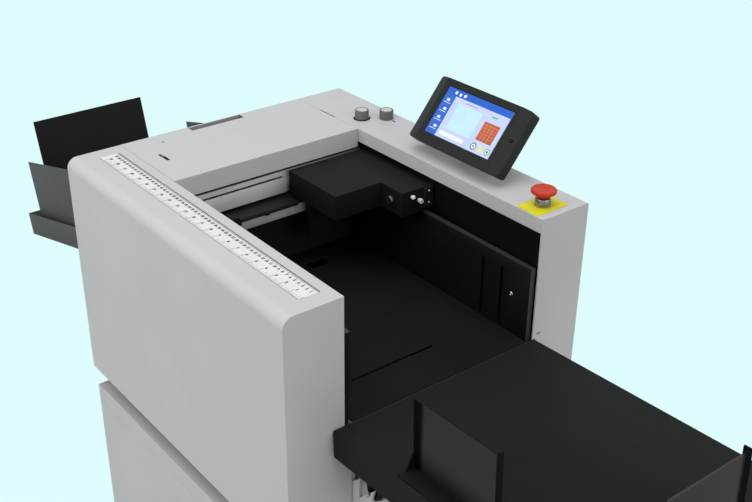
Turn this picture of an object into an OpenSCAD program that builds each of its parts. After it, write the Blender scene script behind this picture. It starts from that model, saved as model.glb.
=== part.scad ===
// Paper creasing machine with a lifting feed bed, a touch console and a sloping delivery tray.
// Machine frame used inside the modules: x = 0 at the feed end of the body and negative towards delivery,
// y = 0 at the middle of the paper path, z = 0 at the floor.

/* [Body] */
// Length of the body along the paper path
body_len = 660; // [620:5:740]
// Width over both side covers
body_w = 584; // [570:2:640]
// Clear width between the two side covers
path_w = 380; // [370:2:390]
// Height of the flat top above the floor
top_z = 1120; // [1060:5:1200]
// Height of the upper body
body_h = 425; // [420:5:440]
// Shadow gap between the body and the cabinet
body_gap = 37; // [25:1:50]
// Thickness of the cover sheets
sheet = 2.5; // [2:0.5:3]
// Rounding of the left cover's long top edge
edge_r = 19; // [15:1:50]
// Rounding of the right cover's long top edge
arm_r = 3; // [2.5:0.5:8]
// Depth of the right cover's inner edge
arm_flange = 24.5; // [20:0.5:30]
// Depth of the left cover's inner edge
left_flange = 86; // [70:1:86]
// Space between a cover's inner edge and the side frame
frame_gap = 10; // [8:1:12]
// Thickness of the side frames
frame_t = 6; // [5:0.5:8]
// Thickness of the base pan
pan_t = 6; // [4:0.5:8]
// Height of the base pan's front panel
pan_front_h = 155; // [140:5:160]
// Radius of the body's rubber feet
body_foot_r = 22; // [15:1:30]
// Distance of the feet from the ends
foot_set = 60; // [50:1:80]

/* [Ruler] */
// Length of the ruler strip
ruler_len = 600; // [550:5:600]
// Width of the ruler strip
ruler_w = 34; // [28:1:36]
// Depth of the ruler's groove
ruler_depth = 1.2; // [0.8:0.1:1.5]
// Dark gap beside the strip
ruler_slot = 3; // [2:0.5:4]
// Distance from the path-side edge to the groove
ruler_edge = 17; // [14:1:22]

/* [Cabinet] */
// How far the cabinet ends stand back from the body
cab_inset = 10; // [0:1:25]
// Thickness of the cabinet sheets
cab_t = 2.5; // [2:0.5:4]
// Height of the levelling feet
level_h = 30; // [20:1:45]
// Radius of a levelling foot's pad
level_r = 25; // [18:1:32]
// Thickness of the cabinet door
door_t = 18; // [16:1:22]
// Margin round the door
door_margin = 48; // [40:1:70]
// Gap round the door
door_gap = 1.5; // [1:0.25:2.5]

/* [Lid] */
// Depth of the rear lid
lid_depth = 193; // [185:1:200]
// Height of the lid's front face
lid_h = 35; // [32:1:38]
// Gap beside the lid
lid_seam = 0.5; // [0.4:0.1:1]
// Width of the finger pocket
scoop_w = 110; // [80:1:130]
// Length of the finger pocket
scoop_len = 18; // [14:1:24]
// Depth of the finger pocket
scoop_depth = 12; // [8:1:14]
// Hinge pin radius of the lid
lid_pin_r = 4; // [3:0.5:5]
// Depth of the lid's hinge pin below its top
lid_pin_set = 15; // [14:0.5:16]
// Setback of the lid's hinge pin from its front face
lid_pin_back = 9; // [8.5:0.5:12]
// Gap between the lid and the wall plate below it
lid_gap = 8; // [2.5:0.5:10]

/* [Feed bed] */
// Depth of the bed below the flat top
bed_drop = 215; // [205:1:225]
// Thickness of the bed plate
bed_t = 3; // [2:0.5:5]
// Thickness of the side fences
fence_t = 10; // [8:0.5:12]
// Depth of the fence tops below the flat top
fence_drop = 87; // [87:1:95]
// Setback of the fences from the feed end
fence_setback = 6; // [4:1:10]
// Gap between a fence and the rear wall
fence_gap = 7; // [0.3:0.1:10]
// Width of the slots in a fence
fence_slot_w = 6; // [3:0.5:8]
// Length of the post at the left fence's end
post_len = 20; // [14:1:30]
// Depth of the post's top below the flat top
post_drop = 60; // [50:1:80]
// Height of the post's lower end above the bed
post_up = 41; // [30:1:60]
// Running gap round the bed
bed_gap = 4; // [0.6:0.1:6]
// Travel of the bed lift
lift_travel = 100; // [60:5:100]
// Width of the bed's cross slot
slot_w = 5; // [3:0.5:6]
// Distance of the bed's cross slot from the feed end
bed_slot_x = 83.5; // [70:0.5:100]
// Reach of the cross slot to the left of the path middle
bed_slot_left = 115; // [90:1:130]
// Reach of the cross slot to the right of the path middle
bed_slot_right = 47; // [30:1:60]
// Distance of the first fence slot from the feed end
fence_slot_x = 70; // [60:1:80]
// Distance between the fence slots
fence_slot_pitch = 44; // [30:1:60]

/* [Lift] */
// Guide rod radius
rod_r = 8; // [6:0.5:10]
// Guide rod distance from the path middle
rod_y_off = 120; // [100:1:130]
// Lift screw radius
screw_r = 7; // [6:0.5:8]
// Running clearance of shafts in their bores
run_fit = 0.05; // [0.02:0.01:0.1]
// Wall round a running bore
sleeve_wall = 6; // [4:0.5:8]
// Side of the lift motor
lift_motor_w = 57; // [50:1:60]
// Height of the lift motor
lift_motor_h = 55; // [45:1:60]

/* [Feed table] */
// Length of the feed table
table_len = 550; // [500:5:600]
// Reach of the table to the left of the path middle
table_left = 213; // [205:1:220]
// Reach of the table to the right of the path middle
table_right = 194; // [190:1:200]
// Height of the table's edge
table_h = 46; // [40:1:50]
// Upward slope of the table in degrees
table_tilt = 2.2; // [1:0.1:3]
// Rounding of the table's long edges
table_r = 5; // [4:0.5:8]
// Sheet thickness of the table
table_t = 3; // [2:0.5:4]
// Gap between body and table
table_gap = 2; // [1.8:0.1:3]
// Arm distance from the path middle
arm_y = 170; // [160:1:172]
// Thickness of the table arms
arm_t = 6; // [4:0.5:7]
// Reach of the table arms under the bed
arm_reach = 60; // [50:1:80]
// Depth of the table arms under the bed
arm_depth = 30; // [24:1:40]
// Clearance of the front panel's slots beside the arms
arm_slot = 1.5; // [1:0.5:3]
// Reach of the table's stays along its underside
stay_reach = 60; // [50:1:80]
// Radius of the table's pivot pin
pivot_r = 5; // [4:0.5:6]
// Radius of the clamp knobs
clamp_r = 16; // [13:0.5:18]
// Drop of the clamp below the table's pivot
clamp_drop = 84; // [70:1:90]
// Reach of the clamp past the table's pivot
clamp_set = 25; // [20:1:45]

/* [Guides] */
// Length of a table guide
guide_len = 158; // [140:1:180]
// Height of a table guide
guide_h = 114; // [90:1:130]
// Sheet thickness of the guides
guide_t = 3; // [2:0.5:4]
// Width of a guide's foot
guide_foot = 28; // [22:1:30]
// Width of the rib at a guide's corner
guide_rib = 16; // [12:1:20]
// Distance of the side guide from the table's inner edge
side_guide_x = 138; // [100:1:180]
// Distance of the end stop from the table's inner edge
end_stop_x = 482; // [400:1:490]
// Place of the side guide across the path
side_guide_y = -178; // [-180:1:-150]
// Place of the end stop's left end across the path
end_stop_y = -87; // [-120:1:-60]

/* [Feed head] */
// Depth of the head's top below the flat top
head_drop = 40; // [36:1:44]
// Height of the head
head_h = 45; // [42:1:48]
// Length of the head's left part
head_len = 138; // [120:1:150]
// Length of the head's right part
head_nose = 197; // [180:1:210]
// Left side of the head across the path
head_y0 = 35; // [25:1:45]
// Step between the two parts of the head
head_y1 = 133; // [131:1:140]
// Wall of the head
head_t = 3; // [2:0.5:4]
// Length of the leg under the head
leg_len = 18; // [12:1:24]
// Width of the leg under the head
leg_w = 35; // [25:1:40]
// Drop of the leg below the head
leg_h = 69; // [50:1:75]
// Clearance round the leg in the bed's window
leg_gap = 2; // [1.5:0.5:5]
// Radius of the suction drum
drum_r = 16; // [13:0.5:17]
// Height of the bracket on the head's nose
nose_plate_h = 36; // [30:1:38]
// Radius of the pale head knob
head_knob_r = 7; // [5:0.5:9]

/* [Creasing unit] */
// Depth of the sheet deck below the flat top
deck_drop = 91; // [89:1:93]
// Roller radius
roller_r = 14; // [12:0.5:15]
// Roller shaft radius
shaft_r = 6; // [4:0.5:8]
// Distance between a roller's tyres
tyre_pitch = 76; // [70:1:80]
// Width of a roller's tyre
tyre_w = 52; // [40:1:60]
// Distance between rollers and crease
crease_pitch = 55; // [52:1:60]
// Radius of the drive pulleys
pulley_r = 15; // [12:0.5:17]
// Throw of the eccentrics
throw_r = 3.75; // [3.5:0.05:3.9]
// Radius of the eccentric discs
disc_r = 11; // [9.5:0.5:12]
// Radius of the eccentric shaft
crank_r = 6; // [5:0.5:6]
// Height of the eccentric shaft above the beam
crank_gap = 12; // [12:0.5:13]
// Thickness of the creasing blade
blade_t = 0.8; // [0.5:0.1:1.2]
// Width of the matrix groove
groove_w = 1.8; // [1.6:0.1:2.4]
// Height of the creasing matrix
matrix_h = 24; // [20:1:30]
// Drop of the motor below the deck
motor_drop = 140; // [120:1:160]
// Motor radius
motor_r = 35; // [28:1:40]
// Motor length
motor_len = 68; // [50:1:80]

/* [Vacuum] */
// Length of the vacuum pump
pump_len = 100; // [80:5:120]
// Height of the vacuum pump
pump_h = 100; // [80:5:110]
// Left face of the vacuum pump across the path
pump_y = 50; // [40:1:60]
// Radius of the pump's motor
pump_motor_r = 34; // [28:1:40]
// Length of the pump's motor
pump_motor_len = 70; // [50:5:75]
// Distance of the pump from the lift screw
pump_set = 148; // [140:1:160]
// Outer radius of the vacuum hose
hose_r = 11; // [9:0.5:13]
// Wall of the vacuum hose
hose_wall = 2; // [1.5:0.5:3]
// Bend radius of the vacuum hose
hose_bend = 40; // [32:1:42]

/* [Console] */
// Width of the console
console_w = 223; // [200:1:240]
// Height of the console's face
console_h = 118.5; // [105:0.5:125]
// Depth of the console
console_d = 26; // [22:1:30]
// Backward lean of the face from upright in degrees
console_lean = 39; // [36:1:42]
// Height of the face's lower edge above the flat top
console_lift = 28.5; // [27:0.5:40]
// Distance of the face's lower edge from the cover's outer edge
console_set = 91; // [80:1:92]
// Distance of the console's middle from the feed end
console_x = 232; // [200:1:260]
// Width of the screen
screen_w = 156; // [140:1:160]
// Height of the screen
screen_h = 87; // [80:1:90]
// Offset of the screen from the console's left end
screen_off = 35; // [25:1:38]
// Offset of the screen from the console's lower edge
screen_up = 18; // [12:0.5:20]
// Radius of the console's hinge pin
neck_pin_r = 5; // [4:0.5:6]
// Length of the console's foot plate
neck_len = 90; // [70:2:110]
// Width of the console's foot plate
neck_w = 40; // [34:1:41]

/* [Controls] */
// Distance of the rear knob from the lid's front face
rear_knob_x = 37; // [36:1:50]
// Distance of the rear knob from the cover's inner edge
rear_knob_y = 37; // [36:1:46]
// Distance of the front knob from the lid's front face
front_knob_x = 9; // [8:1:18]
// Distance of the front knob from the cover's outer edge
front_knob_y = 29; // [20:1:30]
// Distance of the stop button from the feed end
stop_x = 37; // [32:1:60]
// Distance of the yellow plate from the cover's inner edge
plate_edge = 2; // [1:0.5:20]
// Radius of the adjusting knobs
knob_r = 13; // [10:0.5:15]
// Height of the adjusting knobs
knob_h = 17.5; // [12:0.5:20]
// Radius of the knob shafts
knob_shaft_r = 4; // [3:0.5:5]
// Radius of the stop button's head
stop_r = 20.5; // [18:0.5:22]
// Radius of the stop button's collar
collar_r = 13; // [12:0.5:15]
// Height of the stop button's collar
collar_h = 11; // [10:0.5:15]
// Length of the yellow plate along the machine
plate_len = 46; // [44:1:60]
// Width of the yellow plate
plate_w = 68; // [50:1:80]
// Thickness of the yellow plate
plate_t = 1.5; // [1:0.25:2]

/* [Delivery] */
// Downward slope of the tray in degrees
tray_tilt = 15; // [12:1:18]
// Length of the tray along its floor
tray_len = 474; // [440:2:500]
// Width of the tray
tray_w = 414; // [410:2:430]
// Height of the tray's walls
tray_h = 47; // [40:1:55]
// Sheet thickness of the tray
tray_t = 2; // [1.5:0.5:3]
// Drop of the tray's upper end below the flat top
tray_drop = 236; // [220:2:260]
// Overlap of the tray that is trimmed at the rear panel
tray_lap = 60; // [50:1:80]
// Height of the tray's side guides
tray_guide_h = 161; // [140:1:180]
// Length of the tray's side guides
tray_guide_len = 320; // [280:5:360]
// Place of a side guide across the tray
tray_guide_y = 193; // [190:1:196]
// Height of the delivery stop
stop_h = 238; // [210:1:250]
// Width of the delivery stop
stop_w = 255; // [220:1:260]
// Middle of the delivery stop across the tray
stop_y = -28; // [-30:1:0]

/* [Mains] */
// Length of the power supply
supply_len = 140; // [120:5:160]
// Height of the power supply
supply_h = 126; // [100:1:140]
// Reach of the power supply past the lift screw
supply_x = 80; // [60:1:100]
// Height of the power supply above the pan
supply_up = 14; // [8:1:20]
// Free space between the power supply and the cover
supply_gap = 21.5; // [10:0.5:40]
// Depth of the inlet module behind the rear wall
inlet_d = 26; // [22:1:30]
// Clearance of the frame round the inlet module
inlet_gap = 4; // [3:0.5:8]
// Width of the inlet module
inlet_w = 50; // [44:1:56]
// Height of the inlet module
inlet_h = 70; // [64:1:80]
// Height of the inlet module's middle above the body's lower edge
inlet_up = 65; // [60:1:80]

/* [Hidden] */
$fn = 48;

eps = 0.5;
touch = 0.3;
// Levels and planes of the body
y_in = path_w / 2;
y_out = body_w / 2;
body_z = top_z - body_h;
pan_z = body_z + pan_t;
cab_top = body_z - body_gap;
frame_y = y_in + frame_gap;
frame_out = frame_y + frame_t;
frame_top = top_z - 8;
x_lid = -body_len + lid_depth;
lid_pin_x = x_lid - lid_pin_back;
lid_pin_z = top_z - lid_pin_set;
lid_z = top_z - lid_h;
wall_front = x_lid - 7;
wall_t = 3;
wall_slot_end = 27;
gate_right = 50;
fence_pin_set = 60;
pull_set = 18;
pull_w = 28;
pull_h = 100;
pull_depth = 12;
wall_back = wall_front - wall_t;
bed_z = top_z - bed_drop;
fence_in = y_in - fence_t;
fence_z = top_z - fence_drop;
// Creasing unit
deck_z = top_z - deck_drop;
deck_t = 3;
sheet_slot = 6;
wall_slot_z = deck_z + 35;
wall_slot_h = 4;
deck_front = wall_front + 40;
nip_z = deck_z + 1;
nip_gap = 0.15;
infeed_x = x_lid - 38;
crease_x = infeed_x - crease_pitch;
exit_x = crease_x - crease_pitch;
lower_z = nip_z - roller_r - nip_gap;
upper_z = nip_z + roller_r + nip_gap;
matrix_half = 15;
matrix_z = deck_z + 0.5;
stroke = 2 * throw_r * sin(60);
blade_tip = matrix_z - 0.5 + stroke;
beam_z = blade_tip + 9;
beam_h = 21;
beam_half = 12;
tongue_half = 8;
crank_z = beam_z + beam_h + crank_gap;
disc_play = 0.5;
yoke_wall = 5;
yoke_y = 150;
yoke_w = 12;
blade_top = beam_z + 15;
belt_y = frame_out + 6;
belt_w = 12;
belt_t = 2;
motor_z = deck_z - motor_drop;
roller_half = frame_y - 6;
// Lift
lift_x = wall_front / 2;
rod_top = bed_z - bed_t - 3;
cross_z = pan_z + lift_motor_h + 9;
cross_h = 20;
pivot_x = table_gap + 14;
pivot_z = bed_z - 25;
clamp_x = pivot_x + clamp_set;
clamp_z = pivot_z - clamp_drop;
clamp_bolt_r = 3;
arm_foot_drop = 46;
arm_foot_z = clamp_z - arm_foot_drop;
strip_w = 15;
arm_flush = -1;
foot_front = arm_flush + 17;
foot_top = clamp_z - 3;
foot_rise = 15;
tip_x = clamp_x + 8.5;
tip_z = clamp_z + 10;
tip_drop = 23;
tip_back = 6;
arm_neck_z = tip_z - (tip_x - foot_front);
// Feed head
head_back = wall_front + 9;
head_top = top_z - head_drop;
head_z = head_top - head_h;
head_front = head_back + head_len;
nose_front = head_back + head_nose;
drum_set = 54;
drum_x = head_front - drum_set;
drum_z = head_z + drum_r - 2;
drum_y0 = head_y0 + 17;
drum_y1 = head_y1 - 15;
leg_x = head_back + 37;
leg_y = head_y0 + 9;
// Vacuum
pump_x = lift_x - pump_set;
pump_z = pan_z + pump_h / 2;
hose_y = frame_out + 42;
hose_top = head_z + 23;
// Console
face_y = y_out - console_set;
face_z = top_z + console_lift;
neck_up = 49.5;
neck_back = console_d + 12;
neck_y = face_y + neck_up * sin(console_lean) + neck_back * cos(console_lean);
neck_z = face_z + neck_up * cos(console_lean) - neck_back * sin(console_lean);
ear_r = 11;
neck_lip = 2;
ear_half = 9;
ear_x = 17;
ear_t = 6;
console_back = face_y + console_h * sin(console_lean) + console_d * cos(console_lean);
// Controls
knob_rear = [x_lid - rear_knob_x, y_in + rear_knob_y];
knob_front = [x_lid - front_knob_x, y_out - front_knob_y];
stop_pos = [-stop_x, y_in + plate_edge + plate_w / 2];
stop_travel = 4;
// Delivery
tray_x = -body_len - tray_len * cos(tray_tilt);
tray_z = top_z - tray_drop - tray_len * sin(tray_tilt);
stop_s = 20;
guide_s = stop_s + 17;
// Mains inlet on the right cover's rear wall
inlet_y = (y_in + y_out) / 2;
inlet_z = body_z + inlet_up;
socket_w = 27;
socket_h = 20;
rocker_w = 11;
rocker_h = 20;
// Whole part
x_low = tray_x + (stop_s - tray_t) * cos(tray_tilt) - stop_h * sin(tray_tilt);
x_high = table_gap + table_len * cos(table_tilt) + table_h * sin(table_tilt);
y_high = max(y_out, console_back);
mid_x = (x_low + x_high) / 2;
mid_y = (y_high - y_out) / 2;

// Shared shapes
module place() translate([-mid_x, -mid_y, 0]) children();

module bar(x0, x1, y0, y1, z0, z1) translate([x0, y0, z0]) cube([x1 - x0, y1 - y0, z1 - z0]);

module rod_x(r, y, z, x0, x1) translate([x0, y, z]) rotate([0, 90, 0]) cylinder(r = r, h = x1 - x0);

module rod_y(r, x, z, y0, y1) translate([x, y0, z]) rotate([-90, 0, 0]) cylinder(r = r, h = y1 - y0);

module rod_z(r, x, y, z0, z1) translate([x, y, z0]) cylinder(r = r, h = z1 - z0);

// A drawing of x and z, drawn out along y
module plate_y(y0, y1) translate([0, y1, 0]) rotate([90, 0, 0]) linear_extrude(y1 - y0) children();

// A drawing of y and z, drawn out along x
module plate_x(x0, x1) translate([x0, 0, 0]) rotate([90, 0, 90]) linear_extrude(x1 - x0) children();

module both_sides() {
  children();
  mirror([0, 1, 0]) children();
}

module four_corners(x0, x1, y) {
  for (x = [x0, x1], side = [-1, 1]) translate([x, side * y, 0]) children();
}

// Side covers
module cover_outline(r, inset) {
  translate([-y_out + inset, body_z]) square([y_out - y_in - 2 * inset, body_h - r]);
  translate([-y_out + r, body_z]) square([y_out - y_in - r - inset, body_h - inset]);
  translate([-y_out + r, top_z - r]) circle(r - inset);
}

module cover_shell(r, flange) {
  difference() {
    plate_x(-body_len, 0) cover_outline(r, 0);
    bar(-body_len + sheet, -sheet, -y_out + sheet, -y_in - sheet, body_z - eps, body_z + eps);
    plate_x(-body_len + sheet, -sheet) cover_outline(r, sheet);
    bar(-body_len + sheet, -sheet, -y_in - sheet - eps, -y_in + eps, body_z - eps, top_z - flange);
    bar(-body_len + sheet, x_lid - 3, -y_in - sheet - eps, -y_in + eps, body_z - eps, top_z - sheet);
  }
}

module left_cover() color("Gainsboro") place() difference() {
  cover_shell(edge_r, left_flange);
  bar(-(body_len + ruler_len) / 2, -(body_len - ruler_len) / 2, -y_in - ruler_edge - ruler_slot - ruler_w,
    -y_in - ruler_edge, top_z - ruler_depth, top_z + eps);
}

module right_cover() color("Gainsboro") place() difference() {
  mirror([0, 1, 0]) cover_shell(arm_r, arm_flange);
  for (p = [knob_rear, knob_front])
    rod_z(knob_shaft_r + run_fit, p[0], p[1], top_z - sheet - eps, top_z + eps);
  bar(-body_len - eps, -body_len + sheet + eps, inlet_y - inlet_w / 2 + 3, inlet_y + inlet_w / 2 - 3,
    inlet_z - inlet_h / 2 + 3, inlet_z + inlet_h / 2 - 3);
}

module ruler_strip() color("WhiteSmoke") place()
  bar(-(body_len + ruler_len) / 2, -(body_len - ruler_len) / 2, -y_in - ruler_edge - ruler_slot - ruler_w,
    -y_in - ruler_edge - ruler_slot, top_z - ruler_depth, top_z - 0.2);

// Base, frames and panels
module base_pan() color("DimGray") place() difference() {
  union() {
    bar(-body_len + sheet, -sheet, -y_out + sheet, y_out - sheet, body_z, pan_z);
    bar(-sheet - eps, 0, -y_in, y_in, body_z, body_z + pan_front_h);
  }
  both_sides() bar(-sheet - 2 * eps, eps, arm_y - 6, arm_y + arm_t + arm_slot, arm_foot_z - 8,
    top_z);
}

module body_feet() color("Black") place() four_corners(-body_len + foot_set, -foot_set, y_out - foot_set - 2)
  rod_z(body_foot_r, 0, 0, cab_top, body_z);

module frame_plate() difference() {
  bar(-body_len + sheet + 4, -sheet - 4, frame_y, frame_out, pan_z, frame_top);
  for (x = [infeed_x, exit_x], z = [lower_z, upper_z])
    rod_y(shaft_r + run_fit, x, z, frame_y - eps, frame_out + eps);
  rod_y(crank_r + run_fit, crease_x, crank_z, frame_y - eps, frame_out + eps);
  rod_y(lid_pin_r + run_fit, lid_pin_x, lid_pin_z, frame_y - eps, frame_out + eps);
  bar(crease_x - tongue_half - touch, crease_x + tongue_half + touch, frame_y - eps, frame_out + eps,
    beam_z - stroke - 2, beam_z + beam_h + 2);
}

module side_frame_left() color("DimGray") place() mirror([0, 1, 0]) frame_plate();

module side_frame_right() color("DimGray") place() difference() {
  frame_plate();
  rod_y(10, crease_x, motor_z, frame_y - eps, frame_out + eps);
  bar(-body_len, -body_len + inlet_d + inlet_gap, frame_y - eps, frame_out + eps, pan_z - eps,
    inlet_z + inlet_h / 2 + inlet_gap);
  for (z = [pump_z, hose_top]) rod_y(hose_r + 1, pump_x, z, frame_y - eps, frame_out + eps);
}

module rear_panel() color("Gainsboro") place() difference() {
  bar(-body_len, -body_len + sheet, -y_in, y_in, body_z, lid_z - lid_seam);
  bar(-body_len - eps, -body_len + sheet + eps, -y_in + 5, y_in - 5, deck_z - 7, deck_z + 13);
}

module wall_plate() color("Silver") place() difference() {
  bar(wall_back, wall_front, -frame_y, frame_y, deck_z + sheet_slot, lid_z - lid_gap);
  bar(wall_back - eps, wall_front + eps, -y_in + 40, wall_slot_end, wall_slot_z, wall_slot_z + wall_slot_h);
}

module lower_wall() color("Black") place()
  bar(wall_back, wall_front, -frame_y, frame_y, pan_z, deck_z - deck_t);

// Lid over the creasing unit
module scoop_outline() polygon([[-body_len + 3, top_z + eps], [-body_len + scoop_len + 1, top_z + eps],
  [-body_len + scoop_len + 1, top_z], [-body_len + scoop_len - 1, top_z - scoop_depth],
  [-body_len + 3, top_z - scoop_depth]]);

module top_lid() color("Gainsboro") place() difference() {
  union() {
    difference() {
      bar(-body_len, x_lid, -y_in + lid_seam, y_in - lid_seam, lid_z, top_z);
      bar(-body_len + sheet, x_lid - sheet, -y_in + lid_seam + sheet, y_in - lid_seam - sheet, lid_z - eps,
        top_z - sheet);
    }
    bar(-body_len, -body_len + scoop_len + 4, -scoop_w / 2 - 3, scoop_w / 2 + 3,
      top_z - scoop_depth - 4, top_z);
    both_sides() rod_y(lid_pin_r, lid_pin_x, lid_pin_z, y_in - lid_seam - sheet, frame_out - 1);
  }
  plate_y(-scoop_w / 2, scoop_w / 2) scoop_outline();
}

// Sheet path
module paper_deck() color("DarkSlateGray") place() {
  bar(infeed_x + roller_r + 1.5, deck_front - 6, -fence_in + 2, fence_in - 2, deck_z - deck_t, deck_z);
  bar(crease_x + matrix_half, infeed_x - roller_r - 2, -frame_y, frame_y, deck_z - deck_t, deck_z);
  bar(exit_x + roller_r + 2, crease_x - matrix_half, -frame_y, frame_y, deck_z - deck_t, deck_z);
  bar(-body_len + sheet, exit_x - roller_r - 2, -frame_y, frame_y, deck_z - deck_t, deck_z);
}

lever_y = -92;
lever_pin_r = 2;
gate_x = deck_front - 1;
gate_z = deck_z - 2;
gate_end = 32;
gate_collar_y = -33;

module gate_bar() color("Gray") place() difference() {
  bar(deck_front - 6, deck_front, -fence_in + 4, gate_right, deck_z - 19, deck_z - 1);
  rod_y(lever_pin_r + run_fit, gate_x, gate_z, lever_y - 10, gate_end + 1);
  bar(deck_front - 6 - eps, deck_front + eps, gate_collar_y - 5, gate_collar_y + 5, gate_z - 4.5, deck_z);
}

module gate_lever() color("Black") place() {
  rod_y(lever_pin_r, gate_x, gate_z, lever_y - 4, gate_end);
  rod_y(3.5, gate_x, gate_z, gate_collar_y - 4, gate_collar_y + 4);
  bar(deck_front + touch, deck_front + 5, lever_y - 4, lever_y + 4, deck_z - 6, deck_z + 5);
  bar(deck_front + touch, deck_front + 5, lever_y - 8, lever_y, deck_z + 4, deck_z + 9);
}

module roller(x, z, right_end) {
  rod_y(shaft_r, x, z, -frame_out - 4, right_end);
  for (i = [-2 : 2]) rod_y(roller_r, x, z, i * tyre_pitch - tyre_w / 2,
    i * tyre_pitch + tyre_w / 2);
}

module driven_roller(x) {
  roller(x, lower_z, belt_y + belt_w + 4);
  rod_y(pulley_r, x, lower_z, belt_y, belt_y + belt_w);
}

module infeed_roller_lower() color("DarkSlateGray") place() driven_roller(infeed_x);

module exit_roller_lower() color("DarkSlateGray") place() driven_roller(exit_x);

module infeed_roller_upper() color("DarkSlateGray") place() roller(infeed_x, upper_z, frame_out + 4);

module exit_roller_upper() color("DarkSlateGray") place() roller(exit_x, upper_z, frame_out + 4);

module crease_matrix() color("Silver") place() difference() {
  bar(crease_x - matrix_half, crease_x + matrix_half, -frame_y, frame_y, deck_z - matrix_h, matrix_z);
  bar(crease_x - groove_w / 2, crease_x + groove_w / 2, -frame_y - eps, frame_y + eps, matrix_z - 1.2,
    matrix_z + eps);
}

module blade_beam() color("SlateGray") place() difference() {
  union() {
    bar(crease_x - beam_half, crease_x + beam_half, -frame_y + 4, frame_y - 4, beam_z, beam_z + beam_h);
    bar(crease_x - tongue_half, crease_x + tongue_half, -frame_out + 1, frame_out - 1,
      beam_z, beam_z + beam_h);
    both_sides() bar(crease_x - disc_r - throw_r - disc_play - yoke_wall,
      crease_x + disc_r + throw_r + disc_play + yoke_wall, yoke_y, yoke_y + yoke_w, beam_z + beam_h,
      crank_z + throw_r * sin(60) + disc_r + disc_play + yoke_wall);
  }
  bar(crease_x - disc_r - throw_r - disc_play, crease_x + disc_r + throw_r + disc_play, -frame_y, frame_y,
    crank_z + throw_r * sin(60) - disc_r - disc_play, crank_z + throw_r * sin(60) + disc_r + disc_play);
  bar(crease_x - blade_t / 2, crease_x + blade_t / 2, -fence_in, fence_in, beam_z - eps, blade_top);
}

module crease_blade() color("Silver") place()
  bar(crease_x - blade_t / 2, crease_x + blade_t / 2, -fence_in, fence_in, blade_tip, blade_top);

module eccentric_shaft() color("Silver") place() {
  rod_y(crank_r, crease_x, crank_z, -frame_out - 4, frame_out + 4);
  both_sides() rod_y(disc_r, crease_x + throw_r * cos(60), crank_z + throw_r * sin(60), yoke_y + 1,
    yoke_y + yoke_w - 1);
}

// Motors, belt and supply
module drive_motors() color("DimGray") place() {
  difference() {
    rod_y(motor_r, crease_x, motor_z, frame_y - motor_len, frame_y);
    rod_y(5 + run_fit, crease_x, motor_z, frame_y - 20, frame_y + eps);
  }
  difference() {
    bar(lift_x - lift_motor_w / 2, lift_x + lift_motor_w / 2, -lift_motor_w / 2, lift_motor_w / 2, pan_z,
      pan_z + lift_motor_h);
    rod_z(screw_r + run_fit, lift_x, 0, pan_z + 4, pan_z + lift_motor_h + eps);
  }
}

module motor_pulley() color("Silver") place() {
  rod_y(5, crease_x, motor_z, frame_y - 19, belt_y + belt_w + 2);
  rod_y(pulley_r, crease_x, motor_z, belt_y, belt_y + belt_w);
}

belt_centres = [[infeed_x, lower_z], [exit_x, lower_z], [crease_x, motor_z]];

function unit(v) = v / norm(v);
function left_of(a, b) = let (d = unit(b - a)) [d[1], -d[0]];

module belt_loop(r) {
  count = len(belt_centres);
  for (c = belt_centres) translate(c) circle(r);
  polygon([for (i = [0 : count - 1], end = [0, 1])
    let (a = belt_centres[i], b = belt_centres[(i + 1) % count]) (end == 0 ? a : b) + r * left_of(a, b)]);
}

module drive_belt() color("Black") place() plate_y(belt_y + 0.5, belt_y + belt_w - 0.5) difference() {
  belt_loop(pulley_r + touch + belt_t);
  belt_loop(pulley_r + touch);
}

module power_supply() color("Silver") place()
  bar(lift_x + supply_x - supply_len, lift_x + supply_x, frame_out, y_out - sheet - supply_gap,
    pan_z + supply_up, pan_z + supply_up + supply_h);

module mains_inlet() color("Black") place() difference() {
  union() {
    bar(-body_len - 2, -body_len, inlet_y - inlet_w / 2, inlet_y + inlet_w / 2, inlet_z - inlet_h / 2,
      inlet_z + inlet_h / 2);
    bar(-body_len, -body_len + inlet_d, inlet_y - inlet_w / 2 + 3, inlet_y + inlet_w / 2 - 3,
      inlet_z - inlet_h / 2 + 3, inlet_z + inlet_h / 2 - 3);
  }
  bar(-body_len - 2 - eps, -body_len + 18, inlet_y - socket_w / 2, inlet_y + socket_w / 2,
    inlet_z - inlet_h / 2 + 8, inlet_z - inlet_h / 2 + 8 + socket_h);
  bar(-body_len - 2 - eps, -body_len + 18, inlet_y - rocker_w / 2 - touch, inlet_y + rocker_w / 2 + touch,
    rocker_z - rocker_h / 2 - 1, rocker_z + rocker_h / 2 + 1);
  rod_y(2 + run_fit, -body_len + 6, rocker_z, inlet_y - rocker_w / 2 - 4, inlet_y + rocker_w / 2 + 4);
}

rocker_z = inlet_z + inlet_h / 2 - 21;
rocker_throw = 8;

module power_switch() color("Black") place() translate([-body_len + 6, inlet_y, rocker_z])
  rotate([0, rocker_throw, 0]) {
    plate_y(-rocker_w / 2, rocker_w / 2) polygon([[5, -6], [5, 6], [-9, rocker_h / 2 - 0.8], [-7.5, 0],
      [-9, 0.8 - rocker_h / 2]]);
    rod_y(2, 0, 0, -rocker_w / 2 - 3.5, rocker_w / 2 + 3.5);
  }

// Feed bay
module fence(setback) difference() {
  union() {
    bar(wall_front + fence_gap, -setback, fence_in, y_in, bed_z - 10, fence_z);
    for (x = [wall_front + fence_pin_set, lift_x, -fence_pin_set], z = [bed_z + 10, fence_z - 20])
      rod_y(6, x, z, y_in, frame_y);
  }
  for (x = [-fence_slot_x - fence_slot_pitch, -fence_slot_x])
    bar(x - fence_slot_w / 2, x + fence_slot_w / 2, fence_in - eps, y_in + eps, bed_z - 2, fence_z - 23);
}

module fence_right() color("Black") place() fence(fence_setback);

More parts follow.
